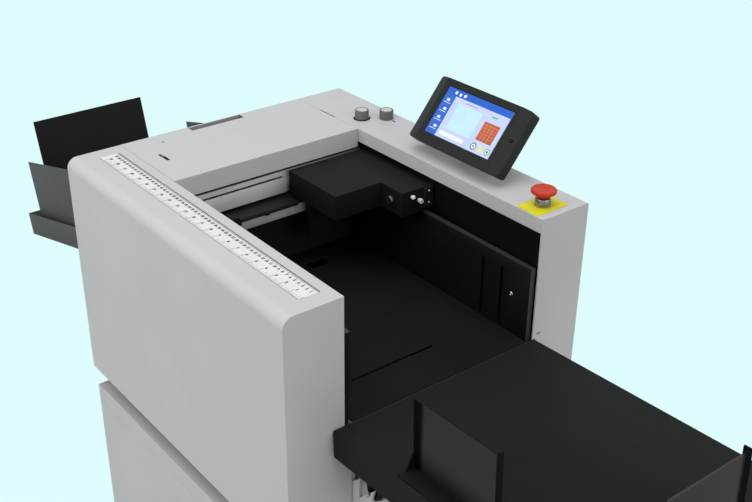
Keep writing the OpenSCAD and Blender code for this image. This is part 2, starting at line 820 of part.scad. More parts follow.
module fence_left() color("Black") place() mirror([0, 1, 0]) {
  fence(fence_setback);
  bar(-post_len, 0, fence_in, y_in - touch, bed_z + post_up, top_z - post_drop);
}

module bed_plate() color("Black") place() difference() {
  bar(wall_front + bed_gap, 0, -fence_in + bed_gap, fence_in - bed_gap, bed_z - bed_t, bed_z);
  bar(-bed_slot_x - slot_w / 2, -bed_slot_x + slot_w / 2, -bed_slot_left, bed_slot_right, bed_z - bed_t - eps,
    bed_z + eps);
  bar(leg_x - leg_gap, leg_x + leg_len + leg_gap, leg_y - leg_gap, leg_y + leg_w + leg_gap, bed_z - bed_t - eps,
    bed_z + eps);
}

module arm_outline() difference() {
  union() {
    polygon([[-arm_reach, bed_z - bed_t], [-4, bed_z - bed_t], [-4, bed_z - 12], [pivot_x + 12, bed_z - 12],
      [pivot_x + 12, pivot_z - 12], [arm_flush, pivot_z - 20], [arm_flush, foot_top],
      [foot_front, foot_top + foot_rise], [foot_front, arm_neck_z], [tip_x, tip_z],
      [tip_x - tip_back, tip_z - tip_drop], [foot_front, arm_foot_z], [arm_flush - strip_w, arm_foot_z],
      [arm_flush - strip_w, bed_z - arm_depth], [-arm_reach, bed_z - arm_depth]]);
  }
  translate([clamp_x, clamp_z]) circle(clamp_bolt_r + run_fit);
}

module lift_frame() color("WhiteSmoke") place() {
  both_sides() {
    plate_y(arm_y, arm_y + arm_t) arm_outline();
    rod_y(pivot_r, pivot_x, pivot_z, arm_y - 9, arm_y + eps);
  }
  difference() {
    union() {
      both_sides() rod_z(rod_r + sleeve_wall, lift_x, rod_y_off, cross_z, bed_z - bed_t);
      bar(lift_x - 12, lift_x + 12, -rod_y_off, rod_y_off, cross_z, cross_z + cross_h);
    }
    both_sides() rod_z(rod_r + run_fit, lift_x, rod_y_off, cross_z - eps, bed_z - bed_t + eps);
    rod_z(screw_r + run_fit, lift_x, 0, cross_z - eps, cross_z + cross_h + eps);
  }
}

module guide_rods() color("Silver") place() both_sides() rod_z(rod_r, lift_x, rod_y_off, pan_z, rod_top);

module lift_screw() color("Silver") place() rod_z(screw_r, lift_x, 0, pan_z + 4.3, rod_top - 6);

// Feed table with its guides, drawn level and then tilted about its inner top edge
module on_table() translate([table_gap, 0, bed_z]) rotate([0, -table_tilt, 0]) children();

module table_outline(inset) {
  translate([-table_left + inset, -table_h]) square([table_left + table_right - 2 * inset, table_h - table_r]);
  translate([-table_left + table_r, -table_r - eps])
    square([table_left + table_right - 2 * table_r, table_r + eps - inset]);
  for (y = [-table_left + table_r, table_right - table_r]) translate([y, -table_r]) circle(table_r - inset);
}

function table_mid(x) = bed_z - table_t / 2 + (x - table_gap) * tan(table_tilt);

module feed_table() color("Black") place() {
  on_table() difference() {
    plate_x(0, table_len) table_outline(0);
    plate_x(-eps, table_len - table_t) translate([0, -eps]) table_outline(table_t);
    plate_x(-eps, table_len - table_t) table_outline(table_t);
  }
  both_sides() difference() {
    plate_y(stay_in, arm_y - 0.5) union() {
      polygon([[table_gap + 2, table_mid(table_gap + 2)],
        [pivot_x + stay_reach, table_mid(pivot_x + stay_reach)],
        [clamp_x + 14, clamp_z], [clamp_x - 14, clamp_z], [table_gap + 2, pivot_z - 8]]);
      translate([clamp_x, clamp_z]) circle(14);
    }
    rod_y(pivot_r + run_fit, pivot_x, pivot_z, arm_y - 7, arm_y);
    rod_y(clamp_bolt_r + 6, clamp_x, clamp_z, arm_y - 7, arm_y);
  }
}

stay_in = arm_y - 6.5;

module clamp_knob() {
  rod_y(clamp_bolt_r, clamp_x, clamp_z, stay_in - 8, arm_y + arm_t - 0.5);
  difference() {
    rod_y(clamp_r, clamp_x, clamp_z, stay_in - 22, stay_in - touch);
    for (i = [0 : 11]) let (a = i * 30)
      rod_y(2.2, clamp_x + clamp_r * cos(a), clamp_z + clamp_r * sin(a), stay_in - 23, stay_in - 3);
  }
}

module clamp_knob_right() color("Black") place() clamp_knob();

module clamp_knob_left() color("Black") place() mirror([0, 1, 0]) clamp_knob();

// A folded guide: plate, foot, back flange and corner rib, drawn along x with its foot towards negative y
module table_guide() {
  bar(0, guide_len, 0, guide_t, touch, guide_h);
  bar(0, guide_len, -guide_foot, 0, touch, guide_t);
  bar(guide_len - guide_t, guide_len, 0, 12, touch, guide_h);
  plate_x(0, guide_t)
    polygon([[-guide_rib, guide_t], [-guide_rib, guide_t - 1], [1, guide_t - 1], [1, guide_t + 30], [0, guide_t + 30]]);
}

module side_guide() color("Black") place() on_table() translate([side_guide_x, side_guide_y, 0]) table_guide();

module end_stop() color("Black") place() on_table() translate([end_stop_x, end_stop_y, 0]) rotate([0, 0, 90])
  table_guide();

// Feed head
module head_outline(inset) polygon([[head_back + inset, head_y0 + inset], [head_front - inset, head_y0 + inset],
  [head_front - inset, head_y1 + inset], [nose_front - inset, head_y1 + inset],
  [nose_front - inset, frame_y - inset], [head_back + inset, frame_y - inset]]);

module feed_head() color("Black") place() difference() {
  union() {
    difference() {
      translate([0, 0, head_z]) linear_extrude(head_h) head_outline(0);
      translate([0, 0, head_z + head_t]) linear_extrude(head_h - 2 * head_t) head_outline(head_t);
    }
    for (y = [drum_y0 - 6, drum_y1 + 2])
      bar(drum_x - 12, drum_x + 12, y, y + 4, head_z + head_t - eps, head_top - head_t + eps);
    bar(leg_x, leg_x + leg_len, leg_y, leg_y + leg_w, head_z - leg_h, head_z + eps);
  }
  bar(drum_x - drum_r - 2, drum_x + drum_r + 2, drum_y0 - 2, drum_y1 + 2, head_z - eps, head_z + head_t + eps);
  rod_y(5 + run_fit, drum_x, drum_z, drum_y0 - 7, drum_y1 + 7);
  rod_y(3 + run_fit, head_knob_x, head_knob_z, head_y1 - eps, head_y1 + head_t + eps);
}

head_knob_x = (head_front + nose_front) / 2;
head_knob_z = head_z + 24;

module head_knob() color("Wheat") place() {
  rod_y(head_knob_r, head_knob_x, head_knob_z, head_y1 - 8, head_y1 - touch);
  rod_y(3, head_knob_x, head_knob_z, head_y1 - 1, head_y1 + head_t + 4);
}

module suction_drum() color("Gray") place() {
  rod_y(5, drum_x, drum_z, drum_y0 - 6, drum_y1 + 6);
  rod_y(drum_r, drum_x, drum_z, drum_y0, drum_y1);
}

module air_fittings() color("WhiteSmoke") place() {
  rod_x(4, head_y1 + 20, head_top - 11, nose_front, nose_front + 9);
  rod_x(4.5, head_y1 + 34, head_top - 20, nose_front, nose_front + 11);
  difference() {
    bar(nose_front, nose_front + 3, frame_y - 20, frame_y - 1, head_top - 2 - nose_plate_h, head_top - 2);
    for (z = [head_top + 5 - nose_plate_h, head_top - 9])
      rod_x(2.2, frame_y - 10, z, nose_front - eps, nose_front + 3 + eps);
  }
}

// Vacuum
module vacuum_pump() color("DimGray") place() {
  bar(pump_x - pump_len / 2, pump_x + pump_len / 2, pump_y, y_in, pan_z, pan_z + pump_h);
  rod_y(pump_motor_r, pump_x, pump_z, pump_y - pump_motor_len, pump_y);
}

module hose_path(r) {
  rod_y(r, pump_x, pump_z, y_in, hose_y - hose_bend);
  translate([pump_x, hose_y - hose_bend, pump_z + hose_bend]) rotate([0, -90, 0]) rotate([0, 0, 90])
    rotate_extrude(angle = 90) translate([hose_bend, 0]) circle(r);
  rod_z(r, pump_x, hose_y, pump_z + hose_bend, hose_top - hose_bend);
  translate([pump_x, hose_y - hose_bend, hose_top - hose_bend]) rotate([0, -90, 0])
    rotate_extrude(angle = 90) translate([hose_bend, 0]) circle(r);
  rod_y(r, pump_x, hose_top, frame_y, hose_y - hose_bend);
}

module vacuum_hose() color("DarkSlateGray") place() difference() {
  hose_path(hose_r);
  hose_path(hose_r - hose_wall);
}

// Console, drawn with its face in the x and y plane, lower edge on y = 0, depth towards negative z
module on_console() translate([-console_x, face_y, face_z]) rotate([90 - console_lean, 0, 0]) children();

module console_neck() color("DarkSlateGray") place() {
  bar(-console_x - neck_len / 2, -console_x + neck_len / 2, neck_y - ear_r - neck_lip,
    neck_y - ear_r - neck_lip + neck_w, top_z, top_z + 3);
  for (side = [-1, 1]) translate([-console_x + side * (ear_x + ear_t / 2), 0, 0])
    plate_x(-ear_t / 2, ear_t / 2) {
      translate([neck_y - ear_half, top_z + 2]) square([2 * ear_half, neck_z - top_z - 2]);
      translate([neck_y, neck_z]) circle(ear_r);
    }
  rod_x(neck_pin_r, neck_y, neck_z, -console_x - ear_x - eps, -console_x + ear_x + eps);
}

module console_case() color("DarkSlateGray") place() {
  difference() {
    on_console() difference() {
      translate([-console_w / 2, 0, -console_d]) cube([console_w, console_h, console_d]);
      translate([-console_w / 2 + screen_off, screen_up, -2])
        cube([screen_w, screen_h, 2 + eps]);
    }
  }
  difference() {
    union() {
      rod_x(ear_r - 1, neck_y, neck_z, -console_x - ear_x + touch, -console_x + ear_x - touch);
      on_console() translate([-ear_x + touch, neck_up - 7, -neck_back])
        cube([2 * (ear_x - touch), 14, neck_back - console_d]);
    }
    rod_x(neck_pin_r + run_fit, neck_y, neck_z, -console_x - ear_x, -console_x + ear_x);
  }
}

module console_screen() color("RoyalBlue") place() on_console()
  translate([-console_w / 2 + screen_off, screen_up, -2]) cube([screen_w, screen_h, 1.5]);

// Controls on the right cover
module adjust_knob(p) {
  rod_z(knob_r, p[0], p[1], top_z + touch, top_z + knob_h);
  rod_z(knob_shaft_r, p[0], p[1], top_z - 12, top_z + 1);
}

module adjust_knob_rear() color("Gray") place() adjust_knob(knob_rear);

module adjust_knob_front() color("Gray") place() adjust_knob(knob_front);

module stop_plate() color("Yellow") place() bar(stop_pos[0] - plate_len / 2, stop_pos[0] + plate_len / 2,
  stop_pos[1] - plate_w / 2, stop_pos[1] + plate_w / 2, top_z, top_z + plate_t);

stop_stem_r = 8;
collar_top = plate_t + collar_h;
button_z = collar_top + stop_travel + 1;

module stop_collar() color("Silver") place() difference() {
  rod_z(collar_r, stop_pos[0], stop_pos[1], top_z + plate_t, top_z + collar_top);
  rod_z(stop_stem_r + run_fit, stop_pos[0], stop_pos[1], top_z + plate_t + 1, top_z + collar_top + eps);
}

module stop_button() color("OrangeRed") place() translate([stop_pos[0], stop_pos[1], top_z]) {
  cylinder_from(stop_stem_r, plate_t + stop_travel + 2, button_z + 1);
  rotate_extrude() polygon([[0, button_z], [stop_r - 7, button_z], [stop_r, button_z + 4],
    [stop_r, button_z + 9], [stop_r - 2, button_z + 11.5], [stop_r - 9, button_z + 12.6], [0, button_z + 13.2]]);
}

module cylinder_from(r, z0, z1) translate([0, 0, z0]) cylinder(r = r, h = z1 - z0);

// Delivery tray, drawn with its floor level and its low end at x = 0
module on_tray() translate([tray_x, 0, tray_z]) rotate([0, -tray_tilt, 0]) children();

module delivery_tray() color("DarkSlateGray") place() difference() {
  on_tray() difference() {
    bar(0, tray_len + tray_lap, -tray_w / 2, tray_w / 2, 0, tray_h);
    bar(tray_t, tray_len + tray_lap + 1, -tray_w / 2 + tray_t, tray_w / 2 - tray_t, tray_t, tray_h + eps);
  }
  bar(-body_len, -body_len + tray_len, -tray_w, tray_w, 0, 2 * top_z);
}

module tray_guide(side) on_tray() {
  bar(guide_s, guide_s + tray_guide_len, tray_guide_y - tray_t, tray_guide_y, tray_t + touch, tray_guide_h);
  bar(guide_s, guide_s + tray_guide_len, tray_guide_y - 20, tray_guide_y, tray_t + touch, 2 * tray_t + touch);
}

module tray_guide_right() color("DimGray") place() tray_guide();

module tray_guide_left() color("DimGray") place() mirror([0, 1, 0]) tray_guide();

module delivery_stop() color("Black") place() on_tray() translate([0, stop_y, 0]) {
  bar(stop_s - tray_t, stop_s, -stop_w / 2, stop_w / 2, tray_t + touch, stop_h);
  bar(stop_s, stop_s + 14, -stop_w / 2, stop_w / 2, tray_t + touch, 2 * tray_t + touch);
}

// Cabinet
door_x0 = -body_len + cab_inset + door_margin;
door_x1 = -cab_inset - door_margin;
door_z0 = level_h + door_margin;
door_z1 = cab_top - door_margin;
door_pin_r = 4;
door_axis_x = door_x0 + door_gap + door_t / 2;
door_axis_y = y_out - door_t / 2;

module cabinet_shell() color("Gainsboro") place() difference() {
  union() {
    difference() {
      bar(-body_len + cab_inset, -cab_inset, -y_out, y_out, level_h, cab_top);
      bar(-body_len + cab_inset + cab_t, -cab_inset - cab_t, -y_out + cab_t, y_out - cab_t, level_h + cab_t,
        cab_top - cab_t);
    }
    for (z = [door_z0 - 6, door_z1])
      bar(door_x0 - 10, door_x1 + 10, y_out - door_t - 4, y_out, z, z + 6);
  }
  bar(door_x0, door_x1, y_out - door_t - 5, y_out + eps, door_z0, door_z1);
  rod_z(door_pin_r + run_fit, door_axis_x, door_axis_y, door_z0 - 6 - eps, door_z1 + 6 + eps);
}

module cabinet_door() color("Gainsboro") place() difference() {
  union() {
    bar(door_axis_x, door_x1 - door_gap, y_out - door_t, y_out, door_z0 + door_gap, door_z1 - door_gap);
    rod_z(door_t / 2, door_axis_x, door_axis_y, door_z0 + door_gap, door_z1 - door_gap);
    rod_z(door_pin_r, door_axis_x, door_axis_y, door_z0 - 5, door_z1 + 5);
  }
  bar(door_x1 - pull_set - pull_w, door_x1 - pull_set, y_out - pull_depth, y_out + eps,
    (door_z0 + door_z1 - pull_h) / 2, (door_z0 + door_z1 + pull_h) / 2);
}

module levelling_feet() color("Black") place()
    four_corners(-body_len + foot_set, -foot_set, y_out - foot_set + 8) {
  rod_z(level_r, 0, 0, 0, 8);
  rod_z(6, 0, 0, 0, level_h);
}

cabinet_shell();
cabinet_door();
levelling_feet();
body_feet();
base_pan();
side_frame_left();
side_frame_right();
left_cover();
right_cover();
rear_panel();
ruler_strip();
top_lid();
wall_plate();
lower_wall();
paper_deck();
gate_bar();
gate_lever();
fence_left();
fence_right();
feed_head();
suction_drum();
head_knob();
air_fittings();
vacuum_pump();
vacuum_hose();
infeed_roller_lower();
infeed_roller_upper();
exit_roller_lower();
exit_roller_upper();
crease_matrix();
blade_beam();
crease_blade();
eccentric_shaft();
drive_motors();
motor_pulley();
drive_belt();
power_supply();
mains_inlet();
power_switch();
bed_plate();
lift_frame();
guide_rods();
lift_screw();
feed_table();
clamp_knob_left();
clamp_knob_right();
side_guide();
end_stop();
console_neck();
console_case();
console_screen();
adjust_knob_rear();
adjust_knob_front();
stop_plate();
stop_collar();
stop_button();
delivery_tray();
tray_guide_left();
tray_guide_right();
delivery_stop();
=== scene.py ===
# %% [markdown]
# A paper creasing machine stands on a cabinet: a light grey body with a black feed bay, a feed table in
# front, a delivery tray behind and a touch console on its control arm. The measured solids come in first.
# They hold the sizes and the joints, so every finish and every small part below is built around them.

# %% Load the measured solids
import math

import bpy
from mathutils import Matrix, Vector


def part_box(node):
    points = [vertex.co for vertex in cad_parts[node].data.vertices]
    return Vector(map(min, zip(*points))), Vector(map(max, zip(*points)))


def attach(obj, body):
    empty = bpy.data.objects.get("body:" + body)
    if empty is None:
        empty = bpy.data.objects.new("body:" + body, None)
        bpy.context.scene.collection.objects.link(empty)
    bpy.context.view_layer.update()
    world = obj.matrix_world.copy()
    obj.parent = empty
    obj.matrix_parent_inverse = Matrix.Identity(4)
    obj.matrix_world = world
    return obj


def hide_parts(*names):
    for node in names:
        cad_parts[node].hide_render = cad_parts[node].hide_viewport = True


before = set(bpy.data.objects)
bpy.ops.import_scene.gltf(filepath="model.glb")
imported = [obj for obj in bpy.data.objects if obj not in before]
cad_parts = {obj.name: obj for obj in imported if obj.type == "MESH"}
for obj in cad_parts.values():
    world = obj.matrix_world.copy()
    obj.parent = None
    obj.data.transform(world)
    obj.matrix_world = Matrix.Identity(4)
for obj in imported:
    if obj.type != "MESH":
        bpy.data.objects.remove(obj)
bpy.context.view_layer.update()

# %% [markdown]
# All measures below are in millimetres in the machine's own frame: x is 0 at the feed end and falls towards
# the delivery, y is 0 in the middle of the paper path, and z is 0 on the floor. The left cover gives the
# shift between that frame and the scene's metres, so nothing has to be fitted by eye.

# %% Machine frame in millimetres
MM = 0.001
BODY_LEN, HALF_W, PATH_HALF, TOP = 660, 292, 190, 1120
FEED_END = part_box("left_cover")[1].x
PATH_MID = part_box("left_cover")[0].y + HALF_W * MM


def pt(x, y, z):
    """A place on the machine, in the scene's metres."""
    return Vector((FEED_END + x * MM, PATH_MID + y * MM, z * MM))


# Seats: the machine itself, the leaning console and the tilted table
MACHINE = Matrix.Translation(pt(0, 0, 0))
CONSOLE = Matrix.Translation(pt(-232, 201, 1148.5)) @ Matrix.Rotation(math.radians(51), 4, "X")
TABLE = Matrix.Translation(pt(2, 0, 905)) @ Matrix.Rotation(math.radians(-2.2), 4, "Y")
print("feed end at", round(FEED_END, 4), "path middle at", round(PATH_MID, 4))

# %% [markdown]
# The camera stands where the photographer's did: in front of the feed table on the ruler's side, looking
# down at about 29 degrees. A long lens keeps the upright edges close to upright. Depth of field stays off,
# so that the whole part is sharp from any side.

# %% Camera
VIEW_AZIMUTH, VIEW_ELEVATION = 52.837, 29.029
bpy.ops.object.select_all(action="DESELECT")
bpy.ops.object.camera_add(location=pt(1049.5, -969.3, 1889),
                          rotation=(math.radians(90 - VIEW_ELEVATION), 0, math.radians(VIEW_AZIMUTH)))
camera = bpy.context.active_object
camera.name = "photo_camera"
camera.data.sensor_fit = "HORIZONTAL"
camera.data.sensor_width = 36
camera.data.lens = 53.707
camera.data.shift_x = 0.0295
camera.data.shift_y = 0.0228
bpy.context.scene.camera = camera
print("camera at", [round(c, 3) for c in camera.location])

# %% [markdown]
# Light and finishes are made of shader nodes. Two small helpers fill the sockets of such nodes, and a third
# one tells what the camera sees from what only lights the part.

# %% Helpers for shader nodes


def wire(owner, target, *first, **named):
    """Fills a node's sockets, by order or by name, each with a value or with a link from another node."""
    for key, value in (*enumerate(first), *named.items()):
        socket = target.inputs[key.replace("_", " ") if key in named else key]
        if isinstance(value, bpy.types.NodeSocket):
            owner.node_tree.links.new(value, socket)
        else:
            socket.default_value = value
    return target


def add_node(owner, kind, *first, **named):
    """A new shader node with its sockets filled."""
    return wire(owner, owner.node_tree.nodes.new("ShaderNode" + kind), *first, **named)


def seen_rays(owner):
    """One where a ray comes from the camera or through a shine or a glass, else nought."""
    rays = add_node(owner, "LightPath").outputs
    value = rays["Is Camera Ray"]
    for kind in ("Is Glossy Ray", "Is Transmission Ray"):
        seen = add_node(owner, "Math", value, rays[kind])
        seen.operation = "MAXIMUM"
        value = seen.outputs[0]
    return value


# %% [markdown]
# The light is that of a plain photo studio: one wide soft panel overhead, one towards the ruler's side, one
# towards the feed end, and an even glow all round. The top faces come out lightest, then the ruler's side,
# then the ends.

# %% Studio light
scene = bpy.context.scene
scene.view_settings.view_transform = "Standard"
PALE = (0.752, 1.0, 1.0, 1)


def soft_panel(name, place, aim, size, power):
    """A square soft light that points at a place on the machine."""
    bpy.ops.object.light_add(type="AREA", location=place)
    lamp = bpy.context.active_object
    lamp.name = name
    lamp.data.size = size
    lamp.data.energy = power
    lamp.rotation_euler = (Vector(aim) - Vector(place)).to_track_quat("-Z", "Y").to_euler()


soft_panel("panel_overhead", (0.15, -0.5, 4.2), (0.1, 0, 0.9), 3.2, 64)
soft_panel("panel_ruler_side", (-0.6, -3.6, 2.4), (0, 0, 0.9), 2.6, 54)
soft_panel("panel_feed_end", (3.8, 0.5, 2.2), (0, 0, 0.9), 2.4, 44)
world = bpy.data.worlds.new("studio")
scene.world = world
world.use_nodes = True
air = world.node_tree.nodes
glow = wire(world, air["Background"], Color=(1, 0.995, 1, 1), Strength=0.38)
backdrop = add_node(world, "Background", Color=PALE, Strength=1)
either = add_node(world, "MixShader", seen_rays(world), glow.outputs[0], backdrop.outputs[0])
wire(world, air["World Output"], Surface=either.outputs[0])

# %% [markdown]
# The floor is a plain pale sheet. It shows the photo's pale blue to the camera and still takes a soft
# shadow, since a part of it is an ordinary matt surface.

# %% Floor
bpy.ops.mesh.primitive_plane_add(size=30, location=(0, 0, -0.0005))
floor = bpy.context.active_object
floor.name = "studio_floor"
floor_finish = bpy.data.materials.new("pale_floor")
floor_finish.use_nodes = True
ground = floor_finish.node_tree.nodes
matt = wire(floor_finish, ground["Principled BSDF"], Base_Color=(0.5, 0.5, 0.5, 1), Roughness=0.9)
shine = add_node(floor_finish, "Emission", Color=PALE)
share = add_node(floor_finish, "Math", seen_rays(floor_finish), 0.96)
share.operation = "MULTIPLY"
both = add_node(floor_finish, "MixShader", share.outputs[0], matt.outputs[0], shine.outputs[0])
wire(floor_finish, ground["Material Output"], Surface=both.outputs[0])
floor.data.materials.append(floor_finish)
print("floor and", len(bpy.data.lights), "lamps")

# %% [markdown]
# Most of the machine is powder coated sheet steel. A powder coat is never one flat colour: it has a fine
# orange peel, and its tone and gloss drift a little over a large panel. One recipe serves all coats and
# plastics, with its own colours, peel and gloss for each. It reads Object coordinates, so the grain sits
# still on every piece.

# %% Recipe for coats and plastics


def noise(m, place, scale, detail, stretch=None):
    """A noise pattern at so many waves a metre, stretched along an axis if asked."""
    if stretch:
        place = add_node(m, "Mapping", Vector=place, Scale=stretch).outputs["Vector"]
    return add_node(m, "TexNoise", Vector=place, Scale=scale, Detail=detail).outputs["Fac"]


def spread(m, value, low, high):
    """Maps the middle of a pattern to a range."""
    span = add_node(m, "MapRange", Value=value, From_Min=0.3, From_Max=0.7, To_Min=low, To_Max=high)
    return span.outputs["Result"]


def blend(m, value, first, second):
    """A colour that drifts between two tones."""
    ramp = add_node(m, "ValToRGB", Fac=value)
    for end, position, tone in zip(ramp.color_ramp.elements, (0.32, 0.68), (first, second)):
        end.position = position
        end.color = (*tone, 1)
    return ramp.outputs["Color"]


def finish(name, first, second, gloss, drift=7, peel=900, depth=0.06, metal=0.0, stretch=None, shine=0.5,
           lit=0.0):
    """A coat, plastic or metal: two close tones, a gloss range and a fine grain."""
    m = bpy.data.materials.new(name)
    m.use_nodes = True
    place = add_node(m, "TexCoord").outputs["Object"]
    bump = add_node(m, "Bump", Strength=depth, Distance=0.0004, Height=noise(m, place, peel, 2, stretch))
    wire(m, m.node_tree.nodes["Principled BSDF"], Normal=bump.outputs["Normal"], Metallic=metal,
         Base_Color=blend(m, noise(m, place, drift, 3), first, second),
         Roughness=spread(m, noise(m, place, drift * 9, 4, stretch), *gloss),
         Specular_IOR_Level=shine, Emission_Color=(*second, 1), Emission_Strength=lit)
    return m


def coat(name, low, ratio, gloss, tint=(1, 1, 1), **rest):
    """A finish in two close tones of one tint: the darker one, and how many times lighter the other is."""
    first, second = (tuple(min(1, low * share * c) for c in tint) for share in (1, ratio))
    return finish(name, first, second, gloss, **rest)


def fade(m, axis, dark, full, least):
    """Paints shade into a finish along an axis: a share of its tone at one place, full from another."""
    shader = m.node_tree.nodes["Principled BSDF"]
    split = add_node(m, "SeparateXYZ", add_node(m, "TexCoord").outputs["Object"])
    span = add_node(m, "MapRange", Value=split.outputs[axis], From_Min=dark, From_Max=full, To_Min=least,
                    To_Max=1)
    span.interpolation_type = "SMOOTHSTEP"
    tone = add_node(m, "VectorMath")
    tone.operation = "SCALE"
    wire(m, tone, shader.inputs["Base Color"].links[0].from_socket, Scale=span.outputs["Result"])
    wire(m, shader, Base_Color=tone.outputs["Vector"])


# %% Coats and plastics
GREY, WARM = (1, 0.985, 0.995), (1, 0.955, 0.955)
light_coat = coat("light_coat", 0.55, 1.04, (0.48, 0.56), GREY, peel=700, depth=0.05, shine=0.3)
cabinet_coat = coat("cabinet_coat", 0.545, 1.04, (0.5, 0.58), GREY, peel=700, depth=0.05, shine=0.3)
black_coat = coat("black_coat", 0.0178, 1.1, (0.56, 0.62), WARM, peel=1100, depth=0.08, shine=0.03)
bay_coat = coat("bay_coat", 0.011, 1.12, (0.6, 0.66), WARM, peel=1100, depth=0.05, shine=0.03)
fence_coat = coat("fence_coat", 0.0088, 1.15, (0.54, 0.6), WARM, peel=1100, depth=0.06, shine=0.05)
# A lighter coat for painted highlights on edges.
edge_highlight_coat = coat("edge_highlight_coat", 0.038, 1.15, (0.45, 0.52), WARM, peel=1100, depth=0.06, shine=0.2)
frame_coat = coat("frame_coat", 0.0042, 1.3, (0.5, 0.68), WARM, peel=900, depth=0.12, shine=0.05)
tray_coat = coat("tray_coat", 0.078, 1.08, (0.54, 0.6), (1, 0.98, 0.96), peel=1100, depth=0.08, shine=0.08)
bracket_coat = coat("bracket_coat", 0.6, 1.1, (0.45, 0.55), (1, 1, 0.98), peel=800, depth=0.06)
wall_coat = coat("wall_coat", 0.64, 1.1, (0.42, 0.5), peel=800, depth=0.05)
gate_coat = coat("gate_coat", 0.29, 1.15, (0.4, 0.5), peel=800, depth=0.08)
# The scoop coat is painted shade for the scoop's walls. The seam grey serves dark seams, and painted shade in
# the ruler's groove and at the scoop's right end.
scoop_shade_coat = coat("scoop_shade_coat", 0.32, 1.08, (0.5, 0.58), peel=700, depth=0.05, shine=0.2)
seam_and_shade_grey = coat("seam_and_shade_grey", 0.11, 1.2, (0.5, 0.6), peel=800, depth=0.08, shine=0.2)
deck_coat = coat("deck_coat", 0.014, 1.3, (0.3, 0.42), peel=1000, depth=0.05, shine=0.2)
case_plastic = coat("case_plastic", 0.0182, 1.12, (0.42, 0.5), (1, 0.955, 0.94), peel=2200, depth=0.16,
                    shine=0.12)
black_plastic = coat("black_plastic", 0.009, 1.4, (0.38, 0.5), peel=2000, depth=0.12, shine=0.4)
knob_plastic = coat("knob_plastic", 0.1, 1.15, (0.45, 0.55), (1, 0.97, 0.97), peel=2000, depth=0.08)
cap_plastic = coat("cap_plastic", 0.55, 1.1, (0.35, 0.45), (1, 0.98, 0.94), drift=60, peel=1500)
white_plastic = coat("white_plastic", 0.7, 1.1, (0.25, 0.35), drift=60, peel=1500)
red_plastic = coat("red_plastic", 0.52, 1.1, (0.4, 0.5), (1, 0.08, 0.028), drift=60, peel=1800, shine=0.15)
yellow_plastic = coat("yellow_plastic", 0.72, 1.08, (0.45, 0.55), (1, 0.91, 0.02), drift=50, peel=1600,
                      shine=0.2)
ruler_white = coat("ruler_white", 0.72, 1.07, (0.3, 0.4), drift=30, peel=1500, depth=0.03)
print_ink = coat("print_ink", 0.008, 2, (0.4, 0.6), drift=200, peel=2500)
rubber = coat("rubber", 0.012, 1.7, (0.7, 0.88), drift=40, peel=1500, depth=0.25)
grip_rubber = coat("grip_rubber", 0.03, 1.5, (0.62, 0.8), drift=50, peel=1800, depth=0.3)
print("coats and plastics:", len(bpy.data.materials) - 1)

# %% [markdown]
# The coats of the two table guides carry painted shade: they darken softly over a short stretch at one end
# and towards the foot, where less light reaches them.

# %% Coats of the table guides, with painted shade
GUIDE_REAR, STOP_RIGHT, END_SHADE_SPAN = 150, 58, 11
FOOT_SHADE_DARK, FOOT_SHADE_CLEAR = 910, 962
guide_coat, stop_coat = (
    coat(name, low, 1.1, (0.52, 0.58), WARM, peel=1100, depth=0.08, shine=0.01)
    for name, low in (("guide_coat", 0.039), ("stop_coat", 0.06)))
# Painted shade over a short stretch at the guide's rear end and the stop's right end, and towards both feet.
fade(guide_coat, "X", pt(GUIDE_REAR, 0, 0).x, pt(GUIDE_REAR + END_SHADE_SPAN, 0, 0).x, 0.08)
fade(stop_coat, "Y", pt(0, STOP_RIGHT, 0).y, pt(0, STOP_RIGHT - END_SHADE_SPAN, 0).y, 0.08)
for material in (guide_coat, stop_coat):
    fade(material, "Z", FOOT_SHADE_DARK * MM, FOOT_SHADE_CLEAR * MM, 0.25)
print("guide coats done")

# %% [markdown]
# Bare metal shows the marks of its making: ground plates and turned shafts have fine lines, which spread
# the reflections across them. The same recipe does it with the grain pulled out along one axis.

# %% Bare metals
TURNED = {"gloss": (0.22, 0.36), "drift": 20, "peel": 1400, "depth": 0.1, "metal": 1}
steel_y = finish("steel_turned_y", (0.5, 0.5, 0.51), (0.6, 0.6, 0.61), stretch=(1, 0.03, 1), **TURNED)
steel_z = finish("steel_turned_z", (0.5, 0.5, 0.5), (0.6, 0.6, 0.6), stretch=(1, 1, 0.03), **TURNED)
dull_chrome = finish("dull_chrome", (0.24, 0.23, 0.22), (0.32, 0.31, 0.3), (0.18, 0.3), drift=40, peel=1500,
                     metal=1)
dark_brass = finish("dark_brass", (0.1, 0.085, 0.045), (0.14, 0.12, 0.065), (0.25, 0.36), drift=80, peel=1500,
                    metal=0.7)
zinc = finish("zinc_plate", (0.55, 0.56, 0.57), (0.66, 0.67, 0.68), (0.25, 0.4), drift=120, peel=1200,
              metal=1)
alloy = finish("folded_alloy", (0.5, 0.51, 0.52), (0.6, 0.61, 0.62), (0.35, 0.5), drift=20, peel=1300,
               metal=1, stretch=(0.05, 1, 1))
cast_dark = finish("cast_dark", (0.022, 0.022, 0.023), (0.035, 0.035, 0.036), (0.5, 0.7), drift=60, peel=500,
                   depth=0.4, metal=0.3)
brass = finish("brass_turned", (0.62, 0.5, 0.26), (0.7, 0.57, 0.3), (0.22, 0.36), drift=80, peel=1500,
               metal=1)
print("metals done, materials in all:", len(bpy.data.materials))

# %% [markdown]
# A few helpers keep the modelling short. Each new part starts from a primitive, is shaped in edit mode, has
# its place written into its mesh, and then rides on the body it belongs to. A sharp edge never looks real,
# so edges are eased with a small applied bevel that catches the light. A seat says which leaning or tilted
# part of the machine the millimetres are counted on.

# %% Helpers for selecting and closing


def only(obj):
    """Makes one object the selected and active one."""
    bpy.ops.object.select_all(action="DESELECT")
    obj.select_set(True)
    bpy.context.view_layer.objects.active = obj


